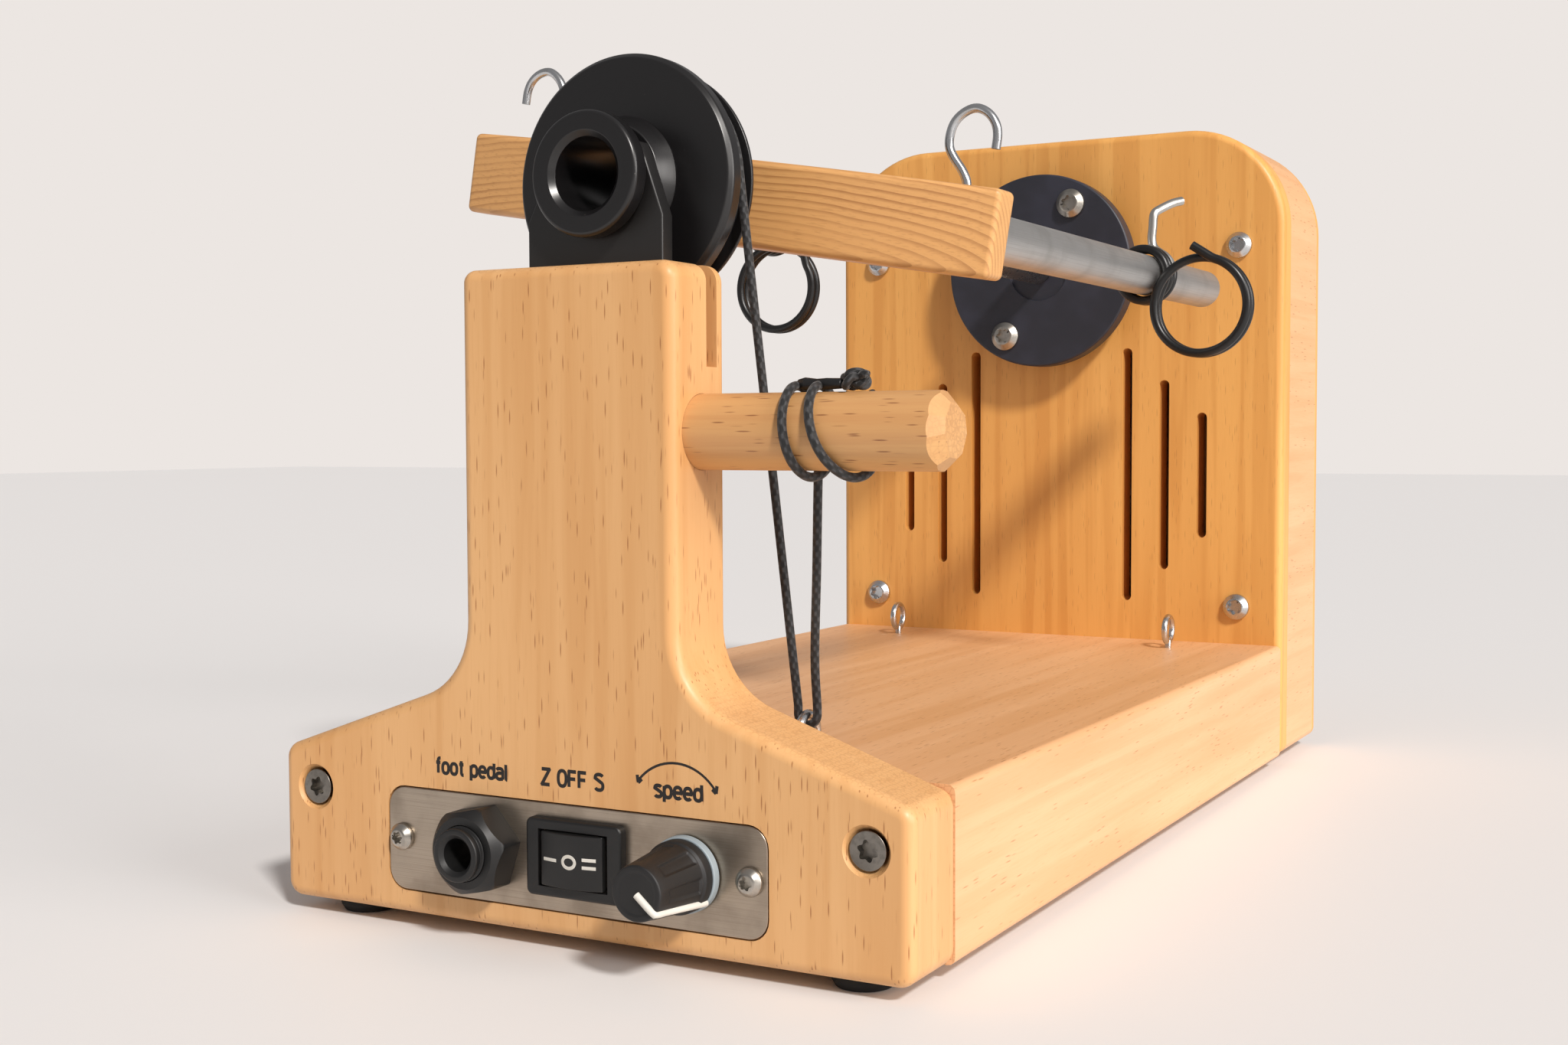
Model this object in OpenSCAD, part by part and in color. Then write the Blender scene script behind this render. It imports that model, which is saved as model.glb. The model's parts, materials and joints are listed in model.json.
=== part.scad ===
// Electric yarn spinner: a beech base and post, a flyer with a cord brake, and a belt drive in a box.
// X is to the right and Y to the back as seen from the front, Z is up. The table is at Z = 0.

/* [Overall] */
// Width of the base, the front board and the motor box
base_w = 142; // [138:1:170]
// Length from the front board's face to the back cover's face
total_len = 300; // [290:1:340]
// Height of the hollow base, without its feet
base_h = 32.5; // [32:0.5:38]
// Height of the spinning axis above the underside of the base
axis_h = 143.5; // [140:0.5:156]
// Height of the rubber feet
foot_h = 3; // [2:0.5:6]
// Radius of the rubber feet
foot_r = 6; // [4:0.5:8]
// How far each foot's centre lies from the base's sides
foot_inset_x = 14; // [10:1:20]
// How far each foot's centre lies from the base's ends
foot_inset_y = 10; // [9:1:16]

/* [Front board] */
// Thickness of the front board, and of the walls of the base and motor box
board_t = 18; // [17:0.5:20]
// Width of the post that carries the flyer
post_w = 48; // [44:1:52]
// How far the post's top lies below the spinning axis
post_drop = 17.5; // [16:0.5:20]
// Height of the board's outer corners above the underside
shoulder_low = 31; // [29:0.5:33]
// Height at which the sloped shoulders would meet the post
shoulder_high = 47.5; // [44:0.5:54]
// Radius of the hollow curve from shoulder to post
shoulder_r = 16; // [10:1:18]
// Small corner radius of the board's outline
corner_r = 3; // [1:0.5:4]
// Thickness of the wood behind the fork's slot
slot_skin = 2.7; // [2:0.1:4]
// Depth of the fork's slot below the post's top
slot_depth = 19; // [14:1:22]

/* [Motor box] */
// Depth of the motor box
box_depth = 45; // [45:0.5:50]
// Height of the box's top above the spinning axis
box_rise = 40; // [39:0.5:46]
// Radius of the box's top corners
box_corner_r = 29; // [24:1:31]
// Thickness of the box's front panel
panel_t = 8; // [8:0.5:9]
// Thickness of the box's back cover
cover_t = 4; // [3:0.5:5]
// Thickness of the box's floor
box_floor_t = 8; // [6:0.5:10]
// Width of the vent slots
vent_w = 3.1; // [2:0.1:4]
// Distance of the innermost vent slots from the middle
vent_x = 24.5; // [24:0.5:26]
// Spacing from one vent slot to the next
vent_pitch = 11.4; // [9:0.1:12]
// Length of the innermost vent slots
vent_len = 76; // [60:1:80]
// How much shorter each next vent slot is
vent_step = 19.5; // [10:0.5:22]
// Distance of the panel's corner screws from the box's sides
panel_screw_inset = 13; // [10:0.5:14]
// Height of the upper panel screws above the spinning axis
panel_screw_up = 5.5; // [0:0.5:8]
// Height of the lower panel screws above the underside
panel_screw_low = 43.5; // [40:0.5:50]

/* [Base] */
// Thickness of the base's top
base_top_t = 8; // [7:0.5:10]
// Thickness of the base's rear wall
base_rear_t = 12; // [8:1:16]
// Thickness of the bottom cover
bottom_t = 3; // [2:0.5:4]
// Width of the ledge that the bottom cover's edge lies on
bottom_ledge = 6; // [5:0.5:8]
// Width of the wire passage between base and box
passage_w = 24; // [20:1:30]
// Height of the wire passage
passage_h = 12; // [10:1:14]

/* [Control plate] */
// Width of the control plate
plate_w = 86; // [84:1:96]
// Height of the control plate
plate_h = 21; // [20:0.5:23]
// Thickness of the control plate
plate_t = 1.5; // [1:0.1:2]
// Corner radius of the control plate
plate_r = 4; // [2:0.5:5]
// Height of the controls' centre line above the underside
control_h = 15.5; // [14:0.5:16.5]
// Distance of the plate's screws from its ends
plate_screw_inset = 3.5; // [3:0.25:4]
// Place of the jack, left of the middle
jack_x = 19.5; // [18:0.5:23]
// Place of the rocker switch, right of the middle
switch_x = 2.5; // [1:0.5:4]
// Distance of the speed knob from the plate's right end
knob_inset = 16.7; // [15:0.1:18]

/* [Jack] */
// Radius of the jack's plug hole
jack_hole_r = 3.2; // [3.15:0.01:3.3]
// Radius of the jack's threaded bush
jack_bush_r = 5.4; // [5:0.1:6]
// How far the bush stands out of the plate
jack_bush_out = 9; // [8:0.5:11]
// Width of the jack's nut across its flats
jack_nut_w = 15.5; // [14:0.5:17]
// Thickness of the jack's nut
jack_nut_t = 5; // [4:0.5:6]
// Height and width of the jack's body behind the plate
jack_body_w = 15; // [13:0.5:16]
// Depth of the jack's body behind the plate
jack_body_len = 20; // [18:1:24]

/* [Rocker switch] */
// Width of the switch's bezel
bezel_w = 21.4; // [21:0.1:22]
// Height of the switch's bezel
bezel_h = 14.8; // [14:0.1:16]
// How far the bezel stands out of the plate
bezel_out = 2; // [1.5:0.1:2.5]
// Width of the rocker
rocker_w = 13.8; // [12:0.2:14]
// Height of the rocker
rocker_h = 10.2; // [9:0.2:10.6]
// How far the rocker's middle stands out of the bezel
rocker_out = 1.2; // [0.8:0.1:1.6]
// How far the rocker's pivot lies behind its crest
rocker_depth = 5.2; // [4.8:0.1:5.6]
// Gap round the rocker that lets it tip
rocker_gap = 0.9; // [0.85:0.05:1.1]

/* [Speed knob] */
// Radius of the knob's foot
knob_foot_r = 6.7; // [6:0.1:7.5]
// Radius of the knob's top
knob_top_r = 4.75; // [4.4:0.05:5.5]
// Height of the knob above its collar
knob_len = 14.8; // [12:0.2:16]
// Radius of the pale collar under the knob
collar_r = 6.9; // [6.8:0.1:7.8]
// Thickness of the pale collar
collar_t = 1.2; // [1:0.1:2]
// Gap from the plate to the knob's collar
knob_gap = 0.8; // [0.5:0.1:1.5]
// Radius of the potentiometer's body
pot_r = 8; // [7:0.25:8.2]
// Radius of the potentiometer's shaft
pot_shaft_r = 3; // [2.9:0.05:3.2]

/* [Tension peg] */
// Radius of the wooden peg
peg_r = 7; // [6.5:0.25:7.25]
// Distance of the peg's axis below the fork's slot
peg_drop = 12; // [11:0.5:19]
// Distance of the peg's axis from the board's face
peg_in = 10; // [9.5:0.25:10]
// How far the peg stands out of the post
peg_out = 50.5; // [46:0.5:51]
// Length of the chamfer at the peg's end
peg_chamfer = 2.4; // [1:0.2:4]
// Wood left between the peg's inner end and the post's left face
peg_stop = 8; // [6:0.5:12]
// Radius of the dome that holds the peg from the left
peg_dome_r = 5.4; // [4.5:0.1:6.5]
// Height of that dome
peg_dome_h = 4; // [3:0.2:5]

/* [Fork] */
// Thickness of the black bearing fork
fork_t = 3.7; // [3:0.1:4.5]
// Width of the fork
fork_w = 29.2; // [27:0.2:32]
// How far the fork's straight sides end below the axis
fork_straight = 8; // [6:0.5:10]
// How far the fork's tips stand above the axis
fork_tip = 6; // [4:0.5:8]
// Thickness of the fork's tips
fork_tip_t = 0.8; // [0.6:0.1:1.4]

/* [Flyer] */
// How far the flyer is turned at rest, clockwise seen from the front, in degrees
flyer_turn = 9.4; // [0:0.1:30]
// Radius of the orifice's bore
orifice_r = 7; // [6:0.1:7.2]
// Radius of the orifice's neck, which turns in the fork
neck_r = 8.4; // [8.2:0.1:9]
// Radial play of the neck in the fork
neck_play = 0.06; // [0.02:0.01:0.1]
// End play of the neck on either side of the fork
neck_end_play = 0.8; // [0.4:0.1:1.2]
// Radius of the orifice's front flange
flange_r = 11.9; // [11:0.1:13]
// Thickness of the front flange
flange_t = 4; // [3:0.5:5]
// Width of the chamfer at the orifice's mouth
mouth_chamfer = 1.1; // [0.5:0.1:1.4]
// Length of the hub between fork and pulley
hub_len = 4; // [3:0.5:6]
// Radius of the hub where it meets the pulley
hub_r = 12.6; // [11.5:0.1:14]
// Radius of the flyer's pulley
pulley_r = 23.2; // [22.6:0.1:24]
// Width of the flyer's pulley
pulley_w = 11; // [10:0.5:12]
// Radius at the bottom of the pulley's groove
groove_r = 20.9; // [20:0.1:21.2]
// Width of the groove
groove_w = 4.8; // [3.5:0.1:5.5]
// Distance from the pulley's face to the groove
groove_in = 4.9; // [3.5:0.1:5.2]
// Length of the open neck behind the pulley, where the yarn comes out
exit_len = 14; // [13:0.5:18]
// Radius of that neck
exit_neck_r = 9.5; // [9:0.1:11]
// Radius of the two yarn exits in that neck
exit_r = 5.6; // [3:0.1:6]
// Length of the flyer's bar
bar_len = 130; // [126:1:140]
// Height of the bar
bar_h = 17.5; // [14:0.5:19]
// Depth of the bar at its middle
bar_depth = 16; // [14:0.5:18]
// How much shallower the bar is at its ends
bar_bow = 7.5; // [4:0.5:8]
// Corner radius at the bar's ends
bar_corner_r = 2.5; // [1:0.5:3]
// Radius of the steel shaft that carries the bobbin
shaft_r = 4; // [3.5:0.1:4.5]
// How much thinner the shaft's two ends are turned
shaft_step = 0.5; // [0.3:0.1:1]
// Distance from the axis to each arm
arm_x = 57; // [54:0.5:58]
// Radius of the arms
arm_r = 5; // [4:0.1:5.5]
// Wall of the arms
arm_wall = 1; // [0.8:0.1:1.5]
// How deep the arms sit in the bar
arm_seat = 6; // [4:0.5:6.5]
// Distance from the arms' rear ends to the drive disc
arm_end_gap = 21.5; // [15:0.5:40]
// Place of the right hook along the bar, from the axis
hook_right_x = 56.2; // [50:0.1:58]
// Place of the left hook along the bar, from the axis
hook_left_x = 48; // [44:0.5:58]
// Radius of the hooks' wire
hook_wire_r = 0.9; // [0.7:0.1:1.1]

/* [Sliding guides] */
// Radius of the guides' spring wire
guide_wire_r = 1.1; // [0.9:0.1:1.3]
// Radius of the yarn ring, to the middle of its wire
guide_ring_r = 11.7; // [10:0.1:13]
// Gap from the wire's coil to the arm
guide_gap = 0.3; // [0.2:0.05:0.4]
// Free gap from one turn of the wire to the next
guide_turn_gap = 0.6; // [0.5:0.05:1]
// Distance from the drive disc to the guides
guide_back = 76; // [70:1:90]
// How much further back the left guide stands
guide_left_more = 8; // [0:1:14]
// Height of the thumb lever above the arm's axis
lever_h = 14.5; // [12:0.5:17]
// Length of the thumb lever's bent end
lever_len = 8; // [5:0.5:10]

/* [Cord] */
// Radius of the brake cord
cord_r = 0.85; // [0.6:0.05:0.9]
// Gap from the cord to what it passes over
cord_gap = 0.3; // [0.25:0.05:0.5]
// Distance of the front eyes from the middle
eye_front_x = 36.5; // [36:0.5:38]
// Distance of the rear eyes from the middle
eye_rear_x = 43; // [40:0.5:46]
// Distance of the rear eyes from the motor box
eye_rear_gap = 18; // [12:1:30]
// Radius of the eyes' rings, to the middle of the wire
eye_r = 3.6; // [3.3:0.1:4]
// Radius of the eyes' wire
eye_wire_r = 0.9; // [0.8:0.05:1]

/* [Drive] */
// Radius of the drive disc
disc_r = 28.75; // [26:0.25:32]
// Thickness of the drive disc
disc_t = 6; // [5:0.5:7]
// Length of the disc's rear hub
disc_hub_len = 3; // [2:0.5:4]
// Gap from that hub to the panel
disc_gap = 1.5; // [1:0.25:2]
// Distance of the two drive screws from the axis
drive_screw_r = 22; // [18:0.5:24]
// Angle of the drive screws, from the right, in degrees
drive_screw_angle = 62; // [50:1:75]
// Outer radius of the spindle's bearings
bearing_r = 11; // [11:0.5:12]
// Bore radius of the spindle's bearings
bearing_bore_r = 4; // [4:0.5:4]
// Width of the spindle's bearings
bearing_w = 7; // [7:0.5:7]
// Distance from the spinning axis down to the motor's axis
motor_drop = 61.5; // [58:0.5:64]
// Radius of the motor
motor_r = 21; // [18:0.5:21.5]
// Length of the motor
motor_len = 20; // [16:0.5:20.5]
// Radius of the motor's shaft
motor_shaft_r = 2.5; // [2:0.25:3]
// Thickness of the motor plate
motor_plate_t = 2.5; // [2:0.25:3]
// Radius of the driven pulley
driven_r = 18; // [15:0.5:18.5]
// Radius of the motor's pulley
driver_r = 6; // [5:0.25:8]
// Width of the pulleys
belt_pulley_w = 6; // [5:0.5:6]
// Width of the drive belt
belt_w = 4; // [3:0.5:4]
// Thickness of the drive belt
belt_t = 1.2; // [1:0.1:1.5]

/* [Electrics] */
// Width of the controller board
pcb_w = 60; // [50:1:70]
// Length of the controller board
pcb_len = 44; // [40:1:60]
// Thickness of the controller board
pcb_t = 1.6; // [1:0.1:2]
// Height of the board's standoffs
pcb_stand = 5; // [3:0.5:6]
// Distance from the front board to the controller board
pcb_front = 82; // [70:1:100]
// Place of the power inlet, right of the middle
inlet_x = 40; // [34:1:44]
// Height of the power inlet above the underside
inlet_h = 22; // [20:1:30]
// Radius of the power inlet's socket hole
inlet_hole_r = 2.8; // [2.75:0.01:2.9]
// Radius of the leads inside the base and box
lead_r = 1.4; // [1:0.1:1.6]

/* [Screws] */
// Head radius of the front board's screws
board_screw_head_r = 3.8; // [3.4:0.1:4.2]
// Distance of the front board's screws from the sides
board_screw_inset = 8.7; // [8:0.1:9.5]
// Height of the front board's screws above the underside
board_screw_h = 23.3; // [20:0.1:25]
// Head radius of the control plate's screws
plate_screw_head_r = 2.7; // [2.4:0.1:2.9]
// Head radius of the box's screws
box_screw_head_r = 3.8; // [3.4:0.1:4.2]
// Side play of a screw in its hole
screw_play = 0.3; // [0.2:0.05:0.4]

/* [Hidden] */

$fn = 64;

// The overall footprint is centred, with the knob standing out in front.
knob_reach = knob_gap + collar_t + knob_len;
front_y = (knob_reach - total_len) / 2;
board_back_y = front_y + board_t;
back_y = front_y + total_len;
box_front_y = back_y - box_depth;
panel_back_y = box_front_y + panel_t;
cover_front_y = back_y - cover_t;
bottom_z = foot_h;
base_top_z = bottom_z + base_h;
axis_z = bottom_z + axis_h;
box_top_z = axis_z + box_rise;
post_top_z = axis_z - post_drop;
control_z = bottom_z + control_h;
half_w = base_w / 2;
inner_x = half_w - board_t;
inner_top_z = box_top_z - board_t;
inner_corner_r = box_corner_r - board_t;
inner_floor_z = bottom_z + box_floor_t;

// The front of the flyer, plane by plane from the fork backwards
fork_y = board_back_y - slot_skin - fork_t;
fork_back_y = fork_y + fork_t;
slot_z = post_top_z - slot_depth;
cradle_r = neck_r + neck_play;
flange_back_y = fork_y - neck_end_play;
flange_front_y = flange_back_y - flange_t;
hub_front_y = fork_back_y + neck_end_play;
pulley_y = hub_front_y + hub_len;
pulley_back_y = pulley_y + pulley_w;
bar_front_y = pulley_back_y + exit_len;
bar_back_y = bar_front_y + bar_depth;
bar_spigot_r = 6;
bar_spigot_len = 7;
groove_y = pulley_y + groove_in + groove_w / 2;
cord_plane_y = groove_y;

// The drive, plane by plane from the disc backwards
disc_y = box_front_y - disc_gap - disc_hub_len - disc_t;
disc_back_y = disc_y + disc_t;
disc_hub_r = 9;
shaft_tip_y = disc_y + 4;
shaft_tip_play = 0.05;
shaft_end_r = shaft_r - shaft_step;
shaft_shoulder_gap = 0.4;
shaft_pocket = 4.5;
arm_end_y = disc_y - arm_end_gap;
arm_start_y = bar_back_y - arm_seat;
guide_y = disc_y - guide_back;
motor_z = axis_z - motor_drop;
motor_plate_y = panel_back_y + motor_len + 1;
motor_plate_back_y = motor_plate_y + motor_plate_t;
belt_pulley_y = motor_plate_back_y + 2;
belt_y = belt_pulley_y + (belt_pulley_w - belt_w) / 2;
motor_boss_r = 6;
standoff_r = 3;
standoff_low = [17, motor_z - 33];
standoff_high = [20, motor_z + 39];
standoffs = [standoff_low, standoff_high];
front_bearing_y = panel_back_y - bearing_w;
rear_bearing_y = motor_plate_y - bearing_w;
housing_r = bearing_r + 3;

// The controls
pocket_x = plate_w / 2 - 7;
pocket_h = plate_h - 4;
pocket_z = control_z - pocket_h / 2;
hex_face = 0.5 / cos(30);
rocker_y = front_y - bezel_out - rocker_out + rocker_depth;
rocker_pin_r = 1;
rocker_pin_len = 1;
switch_body_w = bezel_w - 2.4;
switch_body_h = bezel_h - 1.8;
switch_body_len = 17;
knob_y = front_y - knob_gap;
knob_x = plate_w / 2 - knob_inset;

// The peg and its cord
peg_y = front_y + peg_in;
peg_z = slot_z - peg_drop;
peg_end_x = post_w / 2 + peg_out;
peg_start_x = peg_stop - post_w / 2;
peg_screw_r = 2;
turn_r = peg_r + cord_gap + cord_r;
// How far the cord has moved along the peg at each angle round it, from the back over the top
turn_run = [
    [0, -5], [90, -4.7], [180, -3.3], [270, -1.5], [360, -0.7], [450, -0.3],
    [540, 2.1], [630, 7.4], [720, 8.2], [790, 7.6]
];
turn_end = 776;
turn_mid_x = post_w / 2 + 24.5;
turn_steps = 76;
sleeve_r = 1.3;
sleeve_len = 7.4;
knot_x = turn_mid_x + 7.2;

// The cord's route in the plane of the pulley's groove
cord_path_r = groove_r + cord_gap + cord_r;
eye_z = base_top_z + 0.8 + eye_r + eye_wire_r;
hitch_r = eye_wire_r + cord_gap + cord_r;
hitch_z = eye_z + eye_r;
run_top = hitch_z + 1.5;
ferrule_h = 5;

// Screw sizes that follow from the heads
board_screw_r = 2;
plate_screw_r = 1.3;
box_screw_r = 2;
small_screw_r = 1.5;
small_head_r = 3;

origin_x = 7;

function unit(v) = v / norm(v);

// The points of an arc that rounds the corner at p, between the lines to a and to b
function corner_arc(a, p, b, r, n) =
    r <= 0 ? [p] :
    let(
        u = unit(a - p),
        v = unit(b - p),
        half = acos(u * v) / 2,
        c = p + unit(u + v) * (r / sin(half)),
        s = p + u * (r / tan(half)) - c,
        e = p + v * (r / tan(half)) - c,
        start = atan2(s[1], s[0]),
        turn = atan2(s[0] * e[1] - s[1] * e[0], s * e)
    )
    [for (i = [0:n]) c + r * [cos(start + turn * i / n), sin(start + turn * i / n)]];

// An outline of [x, y, radius] corners, each rounded by its own radius
function rounded(corners, n = 8) =
    let(m = len(corners))
    [for (i = [0:m - 1])
        let(
            a = corners[(i + m - 1) % m],
            p = corners[i],
            b = corners[(i + 1) % m]
        )
        each corner_arc([a[0], a[1]], [p[0], p[1]], [b[0], b[1]], p[2], n)];

function tangents(p) =
    [for (i = [0:len(p) - 1])
        i == 0 ? unit(p[1] - p[0]) :
        i == len(p) - 1 ? unit(p[i] - p[i - 1]) :
        unit(unit(p[i + 1] - p[i]) + unit(p[i] - p[i - 1]))];

function side_of(t) = abs(t[2]) < 0.8 ? unit(cross(t, [0, 0, 1])) : unit(cross(t, [0, 1, 0]));

// Side directions that turn as little as they can from one point of a path to the next
function sides_along(t) =
    [for (
        i = 0, s = side_of(t[0]);
        i < len(t);
        i = i + 1, s = i < len(t) ? unit(s - t[i] * (s * t[i])) : s
    ) s];

// The least gap between stretches of a tube that lie more than skip points apart
function least_gap(p, r, skip) =
    min([for (i = [0:len(p) - 1]) for (j = [i + skip:1:len(p) - 1]) norm(p[i] - p[j]) - 2 * r]);

// A round tube of radius r along the points p
module tube(p, r, sides = 8) {
    t = tangents(p);
    s = sides_along(t);
    rings = len(p);
    points = [
        for (i = [0:rings - 1])
            for (k = [0:sides - 1])
                p[i] + r * (cos(k * 360 / sides) * s[i] + sin(k * 360 / sides) * cross(t[i], s[i]))
    ];
    walls = [
        for (i = [0:rings - 2])
            for (k = [0:sides - 1])
                let(
                    a = i * sides + k,
                    b = i * sides + (k + 1) % sides
                )
                each [[a, a + sides, b], [b, a + sides, b + sides]]
    ];
    first = [for (k = [1:sides - 2]) [0, k, k + 1]];
    last = [for (k = [1:sides - 2]) [0, k + 1, k] + (rings - 1) * sides * [1, 1, 1]];
    polyhedron(points = points, faces = concat(walls, first, last), convexity = 6);
}

// Turns a flat shape in X and Z into a slab from y to y + t
module slab(y, t) {
    translate([0, y + t, 0])
        rotate([90, 0, 0])
            linear_extrude(t)
                children();
}

module rod_y(x, z, y0, y1, r) {
    translate([x, y0, z])
        rotate([-90, 0, 0])
            cylinder(h = y1 - y0, r = r);
}

module cone_y(x, z, y0, y1, r0, r1) {
    translate([x, y0, z])
        rotate([-90, 0, 0])
            cylinder(h = y1 - y0, r1 = r0, r2 = r1);
}

module rod_x(y, z, x0, x1, r) {
    translate([x0, y, z])
        rotate([0, 90, 0])
            cylinder(h = x1 - x0, r = r);
}

module rod_z(x, y, z0, z1, r) {
    translate([x, y, z0])
        cylinder(h = z1 - z0, r = r);
}

module block(low, high) {
    translate(low)
        cube(high - low);
}

module both_sides() {
    children();
    mirror([1, 0, 0])
        children();
}

// A screw along +Y with a flat-bottomed round head that stands in front of y
module pan_screw(x, z, y, head_r, head_h, r, len) {
    difference() {
        union() {
            cone_y(x, z, y - head_h, y - head_h / 2, head_r * 0.8, head_r);
            rod_y(x, z, y - head_h / 2, y, head_r);
            rod_y(x, z, y - 0.01, y + len, r);
        }
        translate([x, y - head_h - 0.01, z])
            rotate([-90, 0, 0])
                cylinder(h = head_h * 0.6, r = head_r * 0.45, $fn = 6);
    }
}

// A countersunk screw along +Y whose head is level with y
module sunk_screw(x, z, y, head_r, r, len) {
    difference() {
        union() {
            cone_y(x, z, y, y + head_r - r, head_r, r);
            rod_y(x, z, y + head_r - r - 0.01, y + len, r);
        }
        translate([x, y - 0.01, z])
            rotate([-90, 0, 0])
                cylinder(h = head_r * 0.5, r = head_r * 0.45, $fn = 6);
    }
}

// The hole that a countersunk screw along +Y goes through
module sunk_hole(x, z, y, head_r, r, len) {
    cone_y(x, z, y, y + head_r - r, head_r + screw_play, r + screw_play);
    rod_y(x, z, y - 1, y + 0.001, head_r + screw_play);
    rod_y(x, z, y, y + len, r + screw_play);
}

function board_outline() = rounded(
    [
        [-half_w, bottom_z, corner_r],
        [half_w, bottom_z, corner_r],
        [half_w, bottom_z + shoulder_low, corner_r],
        [post_w / 2, bottom_z + shoulder_high, shoulder_r],
        [post_w / 2, post_top_z, corner_r],
        [-post_w / 2, post_top_z, corner_r],
        [-post_w / 2, bottom_z + shoulder_high, shoulder_r],
        [-half_w, bottom_z + shoulder_low, corner_r]
    ],
    10
);

function box_outline() = rounded(
    [
        [-half_w, bottom_z, corner_r],
        [half_w, bottom_z, corner_r],
        [half_w, box_top_z, box_corner_r],
        [-half_w, box_top_z, box_corner_r]
    ],
    14
);

function plate_outline(grow) = rounded(
    [
        [-plate_w / 2 - grow, control_z - plate_h / 2 - grow, plate_r + grow],
        [plate_w / 2 + grow, control_z - plate_h / 2 - grow, plate_r + grow],
        [plate_w / 2 + grow, control_z + plate_h / 2 + grow, plate_r + grow],
        [-plate_w / 2 - grow, control_z + plate_h / 2 + grow, plate_r + grow]
    ],
    6
);

module front_board() {
    recess_gap = 0.2;
    color("burlywood")
        difference() {
            slab(front_y, board_t)
                polygon(board_outline());
            // The slot that the fork stands in
            block([-half_w, fork_y, slot_z], [half_w, fork_back_y, axis_z]);
            // The peg's hole, narrower at the left
            rod_x(peg_y, peg_z, peg_start_x - 0.5, half_w, peg_r + 0.05);
            rod_x(peg_y, peg_z, -half_w, peg_start_x, peg_screw_r + screw_play);
            // The recess of the control plate and the pocket behind it
            slab(front_y - 1, plate_t + 1)
                polygon(plate_outline(recess_gap));
            block(
                [-pocket_x, front_y, pocket_z],
                [pocket_x, board_back_y + 1, pocket_z + pocket_h]
            );
            both_sides() {
                rod_y(
                    plate_w / 2 - plate_screw_inset, control_z, front_y,
                    front_y + 13, plate_screw_r
                );
                sunk_hole(
                    half_w - board_screw_inset, bottom_z + board_screw_h, front_y,
                    board_screw_head_r, board_screw_r, board_t + 1
                );
            }
        }
}

module front_board_screws() {
    color("dimgray")
        both_sides()
            sunk_screw(
                half_w - board_screw_inset, bottom_z + board_screw_h, front_y + 0.3,
                board_screw_head_r, board_screw_r, 40
            );
}

module base_body() {
    edge_r = 1.5;
    color("burlywood")
        difference() {
            slab(board_back_y, box_front_y - board_back_y)
                polygon(rounded(
                    [
                        [-half_w, bottom_z, edge_r],
                        [half_w, bottom_z, edge_r],
                        [half_w, base_top_z, edge_r],
                        [-half_w, base_top_z, edge_r]
                    ],
                    4
                ));
            block(
                [-inner_x, board_back_y - 1, bottom_z - 1],
                [inner_x, box_front_y - base_rear_t, base_top_z - base_top_t]
            );
            // The rebate that the bottom cover lies in
            block(
                [-inner_x - bottom_ledge, board_back_y - 1, bottom_z - 1],
                [
                    inner_x + bottom_ledge, box_front_y - base_rear_t + bottom_ledge,
                    bottom_z + bottom_t
                ]
            );
            block(
                [-passage_w / 2, board_back_y, inner_floor_z],
                [passage_w / 2, box_front_y + 1, inner_floor_z + passage_h]
            );
            both_sides() {
                rod_y(
                    half_w - board_screw_inset, bottom_z + board_screw_h,
                    board_back_y - 1, board_back_y + 23, board_screw_r
                );
                rod_z(
                    eye_front_x, cord_plane_y, base_top_z - base_top_t + 0.5, base_top_z + 1,
                    eye_wire_r
                );
                rod_z(
                    eye_rear_x, box_front_y - eye_rear_gap, base_top_z - base_top_t + 0.5,
                    base_top_z + 1, eye_wire_r
                );
            }
            for (p = cover_screw_places())
                rod_z(p[0], p[1], bottom_z, bottom_z + bottom_t + 11, small_screw_r);
        }
}

function cover_screw_places() =
    [for (x = [-1, 1]) for (y = [0, 1, 2])
        [
            x * (inner_x + bottom_ledge / 2 + 0.2),
            board_back_y + 12 + y * (box_front_y - base_rear_t - board_back_y - 24) / 2
        ]];

module bottom_cover() {
    gap = 0.2;
    color("tan")
        difference() {
            block(
                [-inner_x - bottom_ledge + gap, board_back_y + gap, bottom_z],
                [
                    inner_x + bottom_ledge - gap,
                    box_front_y - base_rear_t + bottom_ledge - gap, bottom_z + bottom_t
                ]
            );
            for (p = cover_screw_places())
                rod_z(p[0], p[1], bottom_z - 1, bottom_z + bottom_t + 1, small_screw_r + screw_play);
        }
}

module bottom_cover_screws() {
    color("silver")
        for (p = cover_screw_places()) {
            rod_z(p[0], p[1], bottom_z - 1.6, bottom_z, small_head_r - 0.4);
            rod_z(p[0], p[1], bottom_z - 0.01, bottom_z + bottom_t + 10, small_screw_r);
        }
}

module rubber_feet() {
    color("black")
        both_sides()
            for (y = [front_y + foot_inset_y, back_y - foot_inset_y]) {
                rod_z(half_w - foot_inset_x, y, 0.6, foot_h, foot_r);
                translate([half_w - foot_inset_x, y, 0])
                    cylinder(h = 0.6, r1 = foot_r - 0.6, r2 = foot_r);
            }
}

module motor_box_housing() {
    inner = rounded(
        [
            [-inner_x, inner_floor_z, corner_r],
            [inner_x, inner_floor_z, corner_r],
            [inner_x, inner_top_z, inner_corner_r],
            [-inner_x, inner_top_z, inner_corner_r]
        ],
        10
    );
    color("burlywood")
        difference() {
            slab(panel_back_y, cover_front_y - panel_back_y)
                polygon(box_outline());
            slab(panel_back_y - 1, cover_front_y - panel_back_y + 2)
                polygon(inner);
            for (p = panel_screw_places())
                rod_y(p[0], p[1], panel_back_y - 1, cover_front_y + 1, box_screw_r);
        }
}

function panel_screw_places() =
    [for (x = [-1, 1]) for (z = [axis_z + panel_screw_up, bottom_z + panel_screw_low])
        [x * (half_w - panel_screw_inset), z]];

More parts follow.
